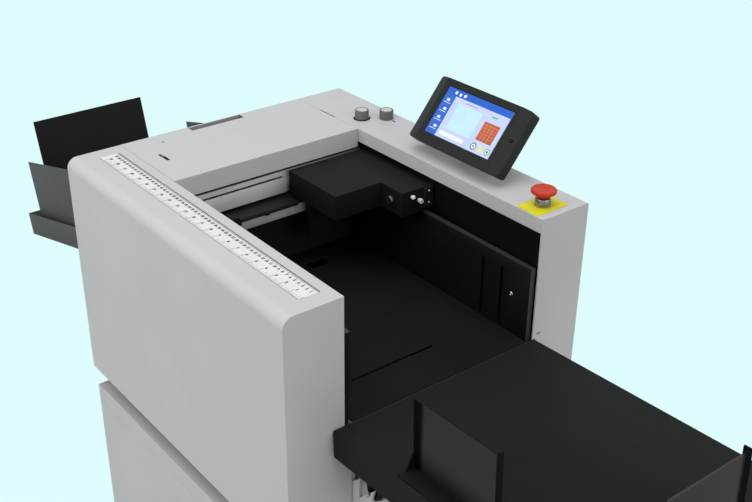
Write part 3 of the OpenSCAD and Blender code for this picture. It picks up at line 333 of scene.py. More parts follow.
def settle(obj, name):
    """Writes an object's place into its mesh and gives it its name."""
    only(obj)
    bpy.ops.object.transform_apply(location=True, rotation=True, scale=True)
    obj.name = name
    obj.data.name = name
    return obj


def edit(obj):
    """Opens a piece with all of it selected."""
    only(obj)
    bpy.ops.object.mode_set(mode="EDIT")
    bpy.ops.mesh.select_all(action="SELECT")


def leave():
    """Leaves edit mode."""
    bpy.ops.object.mode_set(mode="OBJECT")


def close():
    """Turns the faces outwards and leaves edit mode."""
    bpy.ops.mesh.select_all(action="SELECT")
    bpy.ops.mesh.normals_make_consistent(inside=False)
    leave()


def pick(obj, kind, test):
    """Opens a piece with those edges or faces selected that pass a test on their middle and direction."""
    only(obj)
    mesh = obj.data
    scene.tool_settings.mesh_select_mode = (False, kind == "edge", kind == "face")
    for part in (*mesh.vertices, *mesh.edges, *mesh.polygons):
        part.select = False
    for part in mesh.edges if kind == "edge" else mesh.polygons:
        corners = [mesh.vertices[i].co for i in part.vertices]
        middle = sum(corners, Vector()) / len(corners)
        way = (corners[1] - corners[0]).normalized() if kind == "edge" else part.normal
        part.select = test(middle, way)
        if part.select:
            for i in part.vertices:
                mesh.vertices[i].select = True
    bpy.ops.object.mode_set(mode="EDIT")


# %% Helpers for shaping


def ease(obj, width, segments=2, angle=38):
    """Rounds the sharp edges by so many millimetres."""
    only(obj)
    edges = obj.modifiers.new("eased_edges", "BEVEL")
    edges.width = width * MM
    edges.segments = segments
    edges.limit_method = "ANGLE"
    edges.angle_limit = math.radians(angle)
    edges.harden_normals = True
    bpy.ops.object.shade_smooth()
    bpy.ops.object.modifier_apply(modifier=edges.name)
    return obj


def flatten(obj):
    """Lets the large faces set the shading, so that they stay flat in the light."""
    only(obj)
    flat = obj.modifiers.new("flat_faces", "WEIGHTED_NORMAL")
    flat.mode = "FACE_AREA"
    flat.weight = 100
    bpy.ops.object.modifier_apply(modifier=flat.name)
    return obj


def block(name, x0, x1, y0, y1, z0, z1, width=0.0, segments=2, seat=MACHINE):
    """A box between two places on a seat, with eased edges."""
    low, high = Vector((x0, y0, z0)) * MM, Vector((x1, y1, z1)) * MM
    bpy.ops.mesh.primitive_cube_add(size=1)
    obj = bpy.context.active_object
    obj.matrix_world = seat @ Matrix.Translation((low + high) / 2) @ Matrix.Diagonal((*(high - low), 1))
    settle(obj, name)
    return ease(obj, width, segments) if width else obj


def round_corners(obj, along, radius, segments=5):
    """Rounds the edges of a box that run along a direction."""
    along = Vector(along).normalized()
    pick(obj, "edge", lambda middle, way: abs(way.dot(along)) > 0.999)
    bpy.ops.mesh.bevel(offset=radius * MM, segments=segments, affect="EDGES")
    close()
    return obj


LATHE = {"x": Matrix.Rotation(math.pi / 2, 4, "Y"), "-x": Matrix.Rotation(-math.pi / 2, 4, "Y"),
         "y": Matrix.Rotation(-math.pi / 2, 4, "X"), "-y": Matrix.Rotation(math.pi / 2, 4, "X"),
         "z": Matrix.Identity(4)}


def turned(name, place, axis, steps, sides=48, smooth=35, seat=MACHINE):
    """A part turned on a lathe: a disc pulled up and resized from step to step of (radius, height)."""
    radius, height = steps[0]
    bpy.ops.mesh.primitive_circle_add(vertices=sides, radius=radius * MM, fill_type="NGON",
                                      location=(0, 0, height * MM))
    obj = settle(bpy.context.active_object, name)
    edit(obj)
    for wide, high in steps[1:]:
        bpy.ops.mesh.extrude_region_move(TRANSFORM_OT_translate={"value": (0, 0, (high - height) * MM)})
        if wide != radius:
            size = wide / radius
            bpy.ops.transform.resize(value=(size, size, 1), center_override=(0, 0, high * MM))
        radius, height = wide, high
    close()
    obj.matrix_world = seat @ Matrix.Translation(Vector(place) * MM) @ LATHE[axis]
    settle(obj, name)
    bpy.ops.object.shade_smooth_by_angle(angle=math.radians(smooth))
    return obj


def row(count, first, pitch, steps):
    """Repeats some steps of a turned part at a pitch."""
    return [(radius, first + pitch * i + height) for i in range(count) for radius, height in steps]


def join(parts, name):
    """Joins parts into one piece."""
    only(parts[0])
    for part in parts[1:]:
        part.select_set(True)
    if len(parts) > 1:
        bpy.ops.object.join()
    return settle(bpy.context.active_object, name)


def copies(obj, name, shifts):
    """Copies a small part by shifts, each copy with its own mesh, and joins them."""
    made = []
    for shift in shifts:
        twin = obj.copy()
        twin.data = obj.data.copy()
        scene.collection.objects.link(twin)
        twin.location = Vector(shift) * MM
        made.append(twin)
    bpy.data.objects.remove(obj)
    return join(made, name)


def cut(obj, cutter):
    """Takes one shape out of another, and keeps the flat faces flat in the light."""
    only(obj)
    hole = obj.modifiers.new("hole", "BOOLEAN")
    hole.object = cutter
    hole.solver = "EXACT"
    bpy.ops.object.modifier_apply(modifier=hole.name)
    bpy.data.objects.remove(cutter)
    bpy.ops.mesh.customdata_custom_splitnormals_clear()
    edit(obj)
    bpy.ops.mesh.select_mode(type="EDGE")
    bpy.ops.mesh.select_all(action="DESELECT")
    bpy.ops.mesh.edges_select_sharp(sharpness=math.radians(15))
    bpy.ops.mesh.mark_sharp()
    leave()


# %% Helpers for finishing a piece


def paint(obj, material):
    """Gives a piece one finish."""
    obj.data.materials.clear()
    obj.data.materials.append(material)
    return obj


def wear(obj, material, slot, node=None, body="chassis"):
    """Gives a piece its finish, the solid it stands for and its body. The slot is not used."""
    if material:
        paint(obj, material)
    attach(obj, body)
    if node:
        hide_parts(node)
    print("  ", obj.name, "faces", len(obj.data.polygons))
    return obj


def twin_of(node, name):
    """A merged copy of a measured solid, ready to be worked on."""
    obj = bpy.data.objects.new(name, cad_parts[node].data.copy())
    scene.collection.objects.link(obj)
    edit(obj)
    bpy.ops.mesh.remove_doubles(threshold=0.00001)
    bpy.ops.mesh.dissolve_limited(angle_limit=math.radians(0.6))
    leave()
    return obj


def eased(node, width, material, slot, body="chassis"):
    """A copy of a measured solid with its edges eased, that stands for the solid."""
    return wear(ease(twin_of(node, node + "_eased"), width), material, slot, node, body)


def second_tone(obj, material, test):
    """Puts a second finish on the faces whose middle, in machine millimetres, passes a test."""
    obj.data.materials.append(material)
    for face in obj.data.polygons:
        if test((face.center - pt(0, 0, 0)) / MM):
            face.material_index = len(obj.data.materials) - 1


def screw(name, place, axis, radius, rise):
    """A pan head screw: a turned dome with a socket pressed into its top."""
    profile = ((0.9, 0), (1, 0.3), (0.92, 0.75), (0.72, 1), (0.42, 1), (0.42, 0.35))
    return turned(name, place, axis, [(radius * wide, rise * high) for wide, high in profile], 12, 40)


def screws(name, place, axis, radius, rise, material, shifts, body="chassis"):
    """A group of equal screws, as one piece."""
    head = screw(name, place, axis, radius, rise)
    wear(copies(head, name + "s", shifts), material, "bright_steel", body=body)


print("helpers ready")

# %% [markdown]
# The covers, the lid and the cabinet keep their measured shapes. A folded and coated sheet has an edge
# radius of about its own thickness, so the copies get eased edges of 0.4 to 1 mm and the grey coat. Their
# large faces set the shading, so that each stays flat in the light.

# %% Grey covers and cabinet
for node, width, material, slot, *body in (
        ("left_cover", 0.6, light_coat, "body_paint"),
        ("rear_panel", 0.8, light_coat, "body_paint"),
        ("base_pan", 0.6, light_coat, "body_paint"),
        ("cabinet_door", 1.0, cabinet_coat, "cabinet_paint", "door")):
    flatten(eased(node, width, material, slot, *body))

# %% [markdown]
# The photo doesn't show the right side and the back. A machine with a pump, two motors and a supply inside
# needs cooling air, so a plain row of slots is cut through the right cover beside the supply, and two rows
# through the back of the cabinet. The slot is modelled once, copied and taken out of the sheet. A faint
# seam line runs along the cabinet's ruler side, a little below its top edge.

# %% Vents in the right cover and the cabinet
SLOTS, SLOT_PITCH, SLOT_ROUND = 16, 14, 2.9


def vent(obj, box, along, shifts):
    """Cuts rows of slots with round ends out of a sheet."""
    slot_cutter = round_corners(block("slot_cutter", *box), along, SLOT_ROUND)
    cut(obj, copies(slot_cutter, "slot_cutters", shifts))


right_cover = ease(twin_of("right_cover", "right_cover_eased"), 0.6)
vent(right_cover, (-3, 3, HALF_W - 8, HALF_W + 4, 740, 800), (0, 1, 0),
     [(-150 - SLOT_PITCH * i, 0, 0) for i in range(SLOTS)])
wear(right_cover, light_coat, "body_paint", "right_cover")
cabinet = ease(twin_of("cabinet_shell", "cabinet_shell_eased"), 1.0)
vent(cabinet, (-660, -640, -3, 3, 500, 560), (1, 0, 0),
     [(0, SLOT_PITCH * i - 105, z) for i in range(SLOTS) for z in (0, -380)])
cut(cabinet, ease(block("seam_cutter", -700, 40, -HALF_W - 5, -HALF_W + 0.5, 622.5, 623.7), 0.1))
wear(cabinet, cabinet_coat, "cabinet_paint", "cabinet_shell")

# %% [markdown]
# The lid has a few small dark marks: two short slots and a round hole near the ruler's side. A thin dark
# strip in the seam beside the control arm is a painted shadow. They are thin inlays of the dark coat, let into
# the sheet. The walls of the finger scoop in the lid's rear edge carry painted shade, darkest at its right
# end.

# %% Lid and its marks


def in_scoop(p):
    """Whether a place lies on the walls of the finger scoop."""
    return -657.6 < p.x < -640.5 and abs(p.y) < 55.2 and -12.5 < p.z - TOP < -0.5


lid = flatten(eased("top_lid", 0.4, light_coat, "body_paint", "lid"))
# Painted shade on the scoop's walls, darker still at its right end.
second_tone(lid, scoop_shade_coat, in_scoop)
second_tone(lid, seam_and_shade_grey, lambda p: in_scoop(p) and p.y > 54.4)
lid_marks = [block("lid_slot", x0, x1, y0, y1, 1118, TOP + 0.05, 0.02)
             for x0, x1, y0, y1 in ((-581, -569.2, -158, -153.5), (-569, -549, -157.5, -151.5))]
lid_marks.append(turned("lid_hole", (-626, -123, 1118), "z", [(2.2, 0), (2.2, 2.0), (1.9, 2.05)], 16))
wear(join(lid_marks, "lid_marks"), black_coat, "black_sheet", body="lid")
# A painted shadow in the seam beside the control arm.
seam_shadow = block("seam_shadow", -585, -539, PATH_HALF, PATH_HALF + 1.6, 1117, TOP + 0.04, 0.02)
wear(seam_shadow, black_coat, "black_sheet")

# %% [markdown]
# The feed bay, the table and the delivery are black coated sheet. Their edges catch a thin line of light in
# the photo, which is what an eased edge does on a dark satin coat. The other plain
# pieces below need no more.

# %% Black sheet and other plain pieces
for node, width, material, slot, *body in (
        ("lower_wall", 0.6, bay_coat, "black_sheet"),
        ("paper_deck", 0.5, deck_coat, "black_sheet"),
        ("bed_plate", 0.8, bay_coat, "black_sheet", "bed"),
        ("feed_table", 0.8, black_coat, "black_sheet", "table"),
        ("delivery_tray", 0.4, tray_coat, "tray_sheet"),
        ("tray_guide_left", 0.3, tray_coat, "guide_sheet", "tray_left"),
        ("tray_guide_right", 0.3, tray_coat, "guide_sheet", "tray_right"),
        ("delivery_stop", 0.3, black_coat, "tray_sheet", "tray_stop"),
        ("side_frame_left", 0.6, frame_coat, "frame_steel"),
        ("side_frame_right", 0.6, frame_coat, "frame_steel"),
        ("console_neck", 0.8, black_coat, "black_sheet"),
        ("wall_plate", 0.5, wall_coat, "wall_steel"),
        ("gate_lever", 0.5, fence_coat, "black_plastic", "lever"),
        ("clamp_knob_left", 0.7, black_plastic, "black_plastic", "knob_left"),
        ("clamp_knob_right", 0.7, black_plastic, "black_plastic", "knob_right"),
        ("mains_inlet", 0.5, black_plastic, "black_plastic"),
        ("power_switch", 0.4, black_plastic, "black_plastic", "rocker"),
        ("body_feet", 2.5, rubber, "foot_rubber")):
    eased(node, width, material, slot, *body)

# %% [markdown]
# The fences are thick plates whose top and end edges take a lighter coat, a painted highlight. The gate bar's
# top, the feed head's sides and the ends, feet and top edges of the guides look darker than their faces, so
# they take a second, darker coat: painted shade. The table's inner edge carries a thin strip that shows as a
# pale line beside the bed, a painted highlight.

# %% Pieces with painted highlights and painted shade
FENCE_TOP, STOP_END = 1032.6, (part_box("end_stop")[1].y - PATH_MID) / MM - 5
for node, width, first, second, slot, test, *body in (
        # Painted highlight on the fences' top and end edges.
        ("fence_left", 0.5, fence_coat, edge_highlight_coat, "black_sheet",
         lambda p: p.z > 1059.6 or FENCE_TOP < p.z < 1034),
        ("fence_right", 0.5, fence_coat, edge_highlight_coat, "black_sheet",
         lambda p: p.x > -6.4 or p.z > FENCE_TOP),
        # Painted shade on the gate bar's top, the feed head's sides and the guides' ends, feet and top edges.
        ("gate_bar", 0.3, gate_coat, fence_coat, "wall_steel", lambda p: p.z > 1027.6),
        ("feed_head", 0.8, black_coat, fence_coat, "black_sheet", lambda p: p.z < 1079.5),
        ("side_guide", 0.3, guide_coat, fence_coat, "guide_sheet",
         lambda p: p.y < -178.2 and (p.x < GUIDE_REAR or p.z < 930) or p.x > 289
         or p.z - 0.0384 * p.x > 1018.5, "guide"),
        ("end_stop", 0.3, stop_coat, fence_coat, "guide_sheet", lambda p: p.y > STOP_END, "table_stop")):
    second_tone(eased(node, width, first, slot, *body), second, test)
# A pale strip on the table's inner edge: a painted highlight.
highlight_strip = block("table_edge_highlight", 0, 0.9, -212, 193, -2.5, 0.12, 0.05, seat=TABLE)
wear(highlight_strip, edge_highlight_coat, "black_sheet", body="table")

# %% [markdown]
# The lift frame carries the table's arms. Their upper strips lie flush in the grey front panel and share
# its coat, and the feet below are white. One cut across the copy gives a clean line between the two coats.

# %% Lift frame in two coats
FOOT_TOP = 793
lift_frame = twin_of("lift_frame", "lift_frame_eased")
edit(lift_frame)
bpy.ops.mesh.bisect(plane_co=pt(0, 0, FOOT_TOP), plane_no=(0, 0, 1))
leave()
wear(ease(lift_frame, 0.8), bracket_coat, "bracket_paint", "lift_frame", "bed")
second_tone(lift_frame, light_coat, lambda p: p.z > FOOT_TOP and -17.5 < p.x < 0.5)

# %% [markdown]
# The ruler is a white strip let into the left cover. Its print is geometry, so that it stays crisp at any
# size: one thin mark is modelled, and an array repeats it at its pitch. The centimetres count from the feed
# end along the inner edge and the inches along the outer one.

# %% Ruler marks
RULER_TOP, PRINT = 1119.8, 0.1


def marks(name, first, pitch, count, y0, y1, width):
    """A row of equal marks along the ruler, from the feed end to the rear."""
    obj = block(name, first - width / 2, first + width / 2, y0, y1, RULER_TOP - 0.05, RULER_TOP + PRINT)
    array = obj.modifiers.new("array", "ARRAY")
    array.count = count
    array.use_relative_offset = False
    array.use_constant_offset = True
    array.constant_offset_displace = (-pitch * MM, 0, 0)
    bpy.ops.object.modifier_apply(modifier=array.name)
    return obj


CM_ZERO, INCH_ZERO, INCH = -29.5, -30.2, 25.4
INNER, OUTER, REAR, FRONT = -210.6, -243.4, -629.5, -30.5
ruler_rows = [marks("mm_marks", CM_ZERO - 1, 1, 597, INNER - 1.8, INNER, 0.2),
              marks("half_marks", CM_ZERO - 5, 10, 60, INNER - 2.6, INNER, 0.4),
              marks("cm_marks", CM_ZERO - 10, 10, 59, INNER - 3.4, INNER, 0.7),
              marks("inch_marks", INCH_ZERO - 0.3, INCH, 24, OUTER, OUTER + 9.5, 0.6)]
ruler_rows += [marks("part_marks", INCH_ZERO - INCH * share, INCH / 2 ** level, 23 * 2 ** level, OUTER,
                     OUTER + length, 0.22) for level, share, length in
               ((1, 0.5, 7.0), (2, 0.25, 5.2), (3, 0.125, 3.8))]
paint(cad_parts["ruler_strip"], ruler_white)
wear(join(ruler_rows, "ruler_marks"), print_ink, "ruler")
# The strip in the ruler's groove is painted shade; the strip along the outer seam is a dark joint.
for name, y0, y1, top, width in (("ruler_groove_shade", -209.8, -207.2, 1119.1, 0.05),
                                 ("ruler_seam", -245, -244.1, TOP + 0.03, 0.02)):
    wear(block(name, REAR, FRONT, y0, y1, 1118.7, top, width), seam_and_shade_grey, "black_sheet")

# %% [markdown]
# The numbers are plain text in Blender's own typeface, turned into mesh before they are set in place.

# %% Ruler numbers


def number(value, x, y, size):
    """A printed number with its middle at a place on the ruler."""
    bpy.ops.object.text_add()
    obj = bpy.context.active_object
    obj.data.body = str(value)
    obj.data.size = size * MM
    obj.data.align_x = "CENTER"
    obj.data.align_y = "CENTER"
    obj.data.resolution_u = 2
    obj.data.offset = 0.42 * MM
    obj.data.extrude = PRINT / 2 * MM
    bpy.ops.object.convert(target="MESH")
    obj = bpy.context.active_object
    obj.location = pt(x, y, RULER_TOP + PRINT / 2)
    return settle(obj, "number")


numbers = [number(k, CM_ZERO + 2.1 - 10 * k, -218.4, 6.6) for k in range(1, 60)]
numbers += [number(k, INCH_ZERO + 2 - INCH * k, -230.7, 7) for k in range(24)]
wear(join(numbers, "ruler_numbers"), print_ink, "ruler")

# %% [markdown]
# The console's case is a shallow moulded box that leans back. Its two end bands slope away from the face,
# its corners are round, and the screen sits in a shallow well. The box is made flat at the origin, where
# its faces are easy to find, cut along the lines of the bands and the well, shaped, and only then set on
# its seat.

# %% Console case
CASE_X, CASE_Y, CASE_D, BAND, WELL_RIM = 111.5, 118.5, 26, 22, 1
SCREEN_X, SCREEN_Y, SCREEN_W, SCREEN_H = -76.5, 18, 156, 87
NEAR = 0.1 * MM


def at_end(middle):
    """Whether a place lies on one of the two ends of the case."""
    return abs(abs(middle.x) - CASE_X * MM) < NEAR


case = block("console_case_shell", -CASE_X, CASE_X, 0, CASE_Y, -CASE_D, 0, seat=Matrix.Identity(4))
edit(case)
case_lines = [((x, 0, 0), (1, 0, 0)) for x in (BAND - CASE_X, CASE_X - BAND, SCREEN_X - WELL_RIM,
                                               SCREEN_X + SCREEN_W + WELL_RIM)]
case_lines += [((0, y, 0), (0, 1, 0)) for y in (SCREEN_Y - WELL_RIM, SCREEN_Y + SCREEN_H + WELL_RIM)]
for place, way in case_lines:
    bpy.ops.mesh.select_all(action="SELECT")
    bpy.ops.mesh.bisect(plane_co=Vector(place) * MM, plane_no=way)
leave()
pick(case, "face", lambda middle, way: way.z > 0.9 and abs(middle.x / MM - SCREEN_X - SCREEN_W / 2) < 10
     and abs(middle.y / MM - SCREEN_Y - SCREEN_H / 2) < 10)
bpy.ops.mesh.extrude_region_move(TRANSFORM_OT_translate={"value": (0, 0, -2 * MM)})
leave()
pick(case, "edge", lambda middle, way: abs(way.y) > 0.9 and at_end(middle) and middle.z > -NEAR)
bpy.ops.transform.translate(value=(0, 0, -7 * MM))
close()
pick(case, "edge", lambda middle, way: abs(way.z) > 0.999 and at_end(middle)
     and min(abs(middle.y), abs(middle.y - CASE_Y * MM)) < NEAR)
bpy.ops.mesh.bevel(offset=6 * MM, segments=5, affect="EDGES")
close()
ease(case, 0.9, 3, 15)
case.matrix_world = CONSOLE
settle(case, "console_case_shell")

# %% Console hinge and pin hole
HINGE_HALF, HINGE_DROP = 16.6, -CASE_D - 12
barrel = turned("hinge_barrel", (-HINGE_HALF, 49.5, HINGE_DROP), "x",
                [(9.2, 0), (10, 0.8), (10, 32.4), (9.2, 33.2)], 40, seat=CONSOLE)
arm = block("hinge_arm", -HINGE_HALF, HINGE_HALF, 42.6, 56.4, HINGE_DROP, -CASE_D + 1, 0.6, seat=CONSOLE)
wear(join([case, barrel, arm], "console_case_moulded"), case_plastic, "console_plastic", "console_case",
     "console")
pin_hole = turned("console_pin_hole", (100.5, 61, -5.4), "z",
                  [(3.2, 0), (3.2, 2.9), (2.9, 3.2), (2.2, 3.2), (2.2, 1)], 24, seat=CONSOLE)
wear(pin_hole, fence_coat, "black_plastic", body="console")

# %% [markdown]
# The screen shows a plain work page: a blue bar along the top, a dark column of buttons, a page in the
# middle and a coloured panel beside it. Each field is a thin tile on the glass with its own slightly lit
# finish.

# %% Screen finishes
lit_tones = {name: coat("screen_" + name, 0.85, 1.08, (0.2, 0.28), tint, drift=40, peel=2000, depth=0.01,
                        shine=0.3, lit=0.2)
             for name, tint in (("bar", (0.022, 0.115, 0.56)), ("column", (0.03, 0.135, 0.6)),
                                ("field", (0.56, 0.64, 0.88)), ("page", (0.54, 0.8, 0.93)),
                                ("panel", (0.5, 0.105, 0.04)), ("mortar", (0.7, 0.3, 0.2)),
                                ("green", (0.16, 0.5, 0.25)), ("grey", (0.13, 0.15, 0.2)),
                                ("yellow", (0.75, 0.72, 0.35)), ("white", (0.85, 0.9, 0.95)))}

# %% Screen page


def tile(tone, u0, u1, v0, v1, layer):
    """A field on the screen, in shares of its width from the left and of its height from the top."""
    x0, y1 = SCREEN_X, SCREEN_Y + SCREEN_H
    obj = block("tile", x0 + SCREEN_W * u0, x0 + SCREEN_W * u1, y1 - SCREEN_H * v1, y1 - SCREEN_H * v0,
                -0.5, -0.5 + 0.06 * layer, 0.02, 1, CONSOLE)
    return paint(obj, lit_tones[tone])


def spot(tone, u, v, radius, layer):
    """A round button on the screen."""
    obj = turned("spot", (SCREEN_X + SCREEN_W * u, SCREEN_Y + SCREEN_H * (1 - v), -0.5), "z",
                 [(radius, 0), (radius, 0.05 * layer), (radius * 0.94, 0.06 * layer)], 24, seat=CONSOLE)
    return paint(obj, lit_tones[tone])


page = [tile("bar", 0, 1, 0, 0.14, 1), tile("column", 0, 0.16, 0.14, 1, 1),
        tile("page", 0.25, 0.63, 0.25, 0.79, 1), tile("panel", 0.71, 0.94, 0.36, 0.75, 1),
        tile("white", 0.2, 0.58, 0.86, 0.94, 1), tile("green", 0.76, 0.85, 0.22, 0.25, 1),
        tile("grey", 0.34, 0.52, 0.19, 0.2, 1)]
page += [tile("white", u, u + 0.035, 0.045 + drop, 0.1 + drop, 2)
         for u, drop in ((0.12, 0), (0.19, 0.01), (0.26, 0))]
page += [tile("white", 0.055 + 0.02 * (i % 2), 0.1 + 0.02 * (i % 2), 0.23 + 0.19 * i, 0.28 + 0.19 * i, 2)
         for i in range(4)]
page += [tile("white", 0.03, 0.13, 0.31 + 0.19 * i, 0.322 + 0.19 * i, 2) for i in range(4)]
page += [tile("mortar", 0.72, 0.93, 0.42 + 0.06 * i, 0.428 + 0.06 * i, 2) for i in range(5)]
page += [tile("mortar", 0.76 + 0.05 * i, 0.766 + 0.05 * i, 0.38, 0.73, 2) for i in range(3)]
page += [spot(tone, u, 0.885, radius, layer) for tone, u, radius, layer in (
    ("grey", 0.735, 6.5, 1), ("white", 0.735, 4.5, 2), ("grey", 0.735, 2, 3), ("yellow", 0.845, 6, 1),
    ("green", 0.945, 6, 1), ("white", 0.945, 4, 2), ("grey", 0.945, 2.4, 3))]
wear(join(page, "screen_page"), None, "screen", body="console")
paint(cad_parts["console_screen"], lit_tones["field"])

# %% [markdown]
# The two adjusting knobs are grey turned drums with a pale cap let into the top. The rear one stands in a
# dark ring, and a short dark slot lies beside the front one. A mark line on each cap shows how far it is
# turned.

# %% Adjusting knobs
KNOBS = {"rear": (-504, 227), "front": (-476, 263)}
for name, (x, y) in KNOBS.items():
    node, body = "adjust_knob_" + name, "knob_" + name
    drum = turned(node + "_drum", (x, y, TOP), "z",
                  [(4, -12), (4, 0.3), (12.4, 0.3), (13, 0.9), (13, 15.9), (12.6, 16.9), (11.9, 17.5),
                   (10.9, 17.5), (10.5, 17.1), (10.5, 16.2)], 64, 30)
    wear(drum, knob_plastic, "knob_plastic", node, body)
    cap = turned(node + "_cap", (x, y, TOP), "z",
                 [(10.4, 15.8), (10.4, 16.8), (10, 17.15), (4, 17.3)], 64, 30)
    mark = block(node + "_mark", x - 0.5, x + 0.5, y - 9.4, y - 4.5, TOP + 17, TOP + 17.35, 0.1)
    wear(cap, cap_plastic, "pale_plastic", body=body)
    wear(mark, knob_plastic, "knob_plastic", body=body)
ring = turned("knob_ring", (*KNOBS["rear"], TOP), "z",
              [(16, 0), (16, 0.15), (13.4, 0.25), (13.4, 0.1)], 64, 30)
wear(ring, fence_coat, "black_plastic")
arm_slot = block("arm_slot_mark", -460, -452, 263.5, 266.5, TOP - 1, TOP + 0.05, 0.02)
wear(arm_slot, fence_coat, "black_plastic")

# %% [markdown]
# The stop button is a flat red mushroom on a turned metal collar. A yellow plate with round corners lies
# under it.

# %% Stop button
STOP = (-37, 226, TOP)
mushroom = turned("stop_mushroom", STOP, "z",
                  [(8, 7.5), (8, 19.8), (12.4, 20), (17.4, 21.6), (20, 23.6), (20.5, 24.6), (20.5, 27),
                   (20.2, 28.2), (19.5, 29.1), (18.6, 29.6), (17.7, 29.6), (17, 29.2), (12, 28.9), (5, 28.8)],
                  72, 30)
wear(mushroom, red_plastic, "stop_red", "stop_button", "button")
collar = turned("stop_collar_turned", STOP, "z",
                [(13, 1.5), (13, 4.2), (12.3, 4.7), (12.3, 6.2), (13, 6.7), (13, 12.6), (12.4, 14.4),
                 (11.4, 15.2), (8.4, 15.2), (8.4, 3)], 64, 30)
wear(collar, dull_chrome, "collar_metal", "stop_collar")
plate = round_corners(block("stop_plate_sheet", -60, -14, 192, 260, TOP, TOP + 1.5), (0, 0, 1), 5)
wear(ease(plate, 0.4), yellow_plastic, "stop_yellow", "stop_plate")

# %% [markdown]
# On the feed head sit a small brass setting knob with a dark face, two air fittings and a dark bracket with
# two screws. The fittings are turned: both are white plastic, and one has a plated hexagon at its root. A
# single screw holds the right fence.

# %% Head knob and fittings
HEAD_KNOB, NOSE_X = (-297.5, 132.7, 1059), -268
for name, steps, *looks in (
        ("head_knob_dial", [(3, -7), (3, 0.2), (6.2, 0.2), (7, 0.8), (7, 4), (6.6, 5), (5.9, 5.6), (5.7, 5.1)],
         dark_brass, "pale_plastic", "head_knob", "head_dial"),
        ("head_knob_face", [(5.6, 4.6), (5.6, 5.2), (5.2, 5.6), (2, 5.7)],
         black_plastic, "black_plastic", None, "head_dial"),
        ("head_knob_rim", [(8.6, -0.1), (8.6, 0.15), (7.2, 0.2)], black_plastic, "black_plastic")):
    wear(turned(name, HEAD_KNOB, "-y", steps, 40, 30), *looks)
white_fitting = turned("air_fitting_white", (NOSE_X, 153, 1069), "x",
                       [(3, 0), (3, 1.5), (3.6, 2), (4, 3.5), (3.9, 5), (3.2, 6.6), (2, 7.6), (1, 7.9)],
                       32, 60)
wear(white_fitting, white_plastic, "white_plastic", "air_fittings")
plated = [turned("fitting_hexagon", (NOSE_X, 167, 1060), "x",
                 [(4.8, 0), (5.2, 0.4), (5.2, 3.6), (4.7, 4)], 6, 20),
          turned("fitting_barrel", (NOSE_X, 167, 1060), "x",
                 [(3.9, 4), (3.9, 8), (4.4, 8.3), (4.4, 10.5), (3.8, 11), (2.2, 11), (2.2, 6)], 32, 30)]
plated = wear(join(plated, "air_fitting_plated"), white_plastic, "white_plastic")
second_tone(plated, dull_chrome, lambda p: p.x < NOSE_X + 4.1)
# The bracket's narrow sides take the lighter edge coat, a painted highlight; its broad face is black.
bracket = ease(block("nose_bracket", NOSE_X, NOSE_X + 3, 180, 199, 1042, 1078), 0.7)
wear(bracket, edge_highlight_coat, "black_sheet", "air_fittings")
second_tone(bracket, black_coat, lambda p: p.x > NOSE_X + 2.7)
screws("nose_bolt", (NOSE_X + 3, 190, 0), "x", 3.6, 2.4, dull_chrome, [(0, 0, 1049), (0, 0, 1071)])
wear(screw("fence_screw", (-45.5, 180, 972), "-y", 4, 1.4), zinc, "bright_steel")

# %% [markdown]
# The paper runs between two pairs of rollers. A roller is a ground steel shaft with five rubber tyres, and
# each tyre has shallow grooves for grip. The lower shafts also carry a belt pulley between two flanges.

# %% Rollers
INFEED_X, CREASE_X, EXIT_X, LOWER_Z, UPPER_Z = -505, -560, -615, 1015.85, 1044.15
TYRE = [(13.2, 0), (14, 0.8), *row(5, 8, 9, ((14, -0.9), (13.3, -0.4), (13.3, 0.4), (14, 0.9))),
        (14, 51.2), (13.2, 52)]
PULLEY = [(16.4, -0.9), (16.4, 0), (15, 0.3), (15, 11.7), (16.4, 12), (16.4, 12.9)]
for pair, x in (("infeed", INFEED_X), ("exit", EXIT_X)):
    for level, z, end in (("lower", LOWER_Z, 228), ("upper", UPPER_Z, 210)):
        node, body = f"{pair}_roller_{level}", f"{pair}_{level}"
        shaft = [(5.3, 0), (6, 0.7), (6, 209 + end), (5.3, 210 + end)]
        parts = [turned("shaft", (x, -210, z), "y", shaft, 32)]
        if level == "lower":
            parts.append(turned("pulley", (x, 212, z), "y", PULLEY, 48))
        wear(join(parts, node + "_shaft"), steel_y, "bright_steel", node, body)
        tyre = turned("tyre", (x, -26, z), "y", TYRE, 40)
        tyres = copies(tyre, node + "_tyres", [(0, 76 * i, 0) for i in range(-2, 3)])
        wear(tyres, grip_rubber, "roller", body=body)

# %% [markdown]
# The creasing unit itself is ground steel: a grooved matrix below, a blade in a beam above, and a shaft
# with two eccentric discs that drives the beam down.

# %% Creasing unit
for node, width, body in (("crease_matrix", 0.3, "chassis"), ("blade_beam", 0.6, "blade"),
                          ("crease_blade", 0.15, "blade"), ("eccentric_shaft", 0.5, "crank"),
                          ("motor_pulley", 0.4, "pulley")):
    eased(node, width, steel_y, "bright_steel", body)
eased("drive_belt", 0.3, rubber, "belt_rubber")
screws("beam_bolt", (CREASE_X + 12, 0, 1053), "x", 3.2, 2.6, black_plastic,
       [(0, 52 * i, 0) for i in range(-3, 4)], "blade")

# %% [markdown]
# The bed rides on two ground rods and is lifted by a screw. The screw's thread is turned as a row of ridges
# at its pitch, which at this size looks the same as a helix and stays a closed solid.

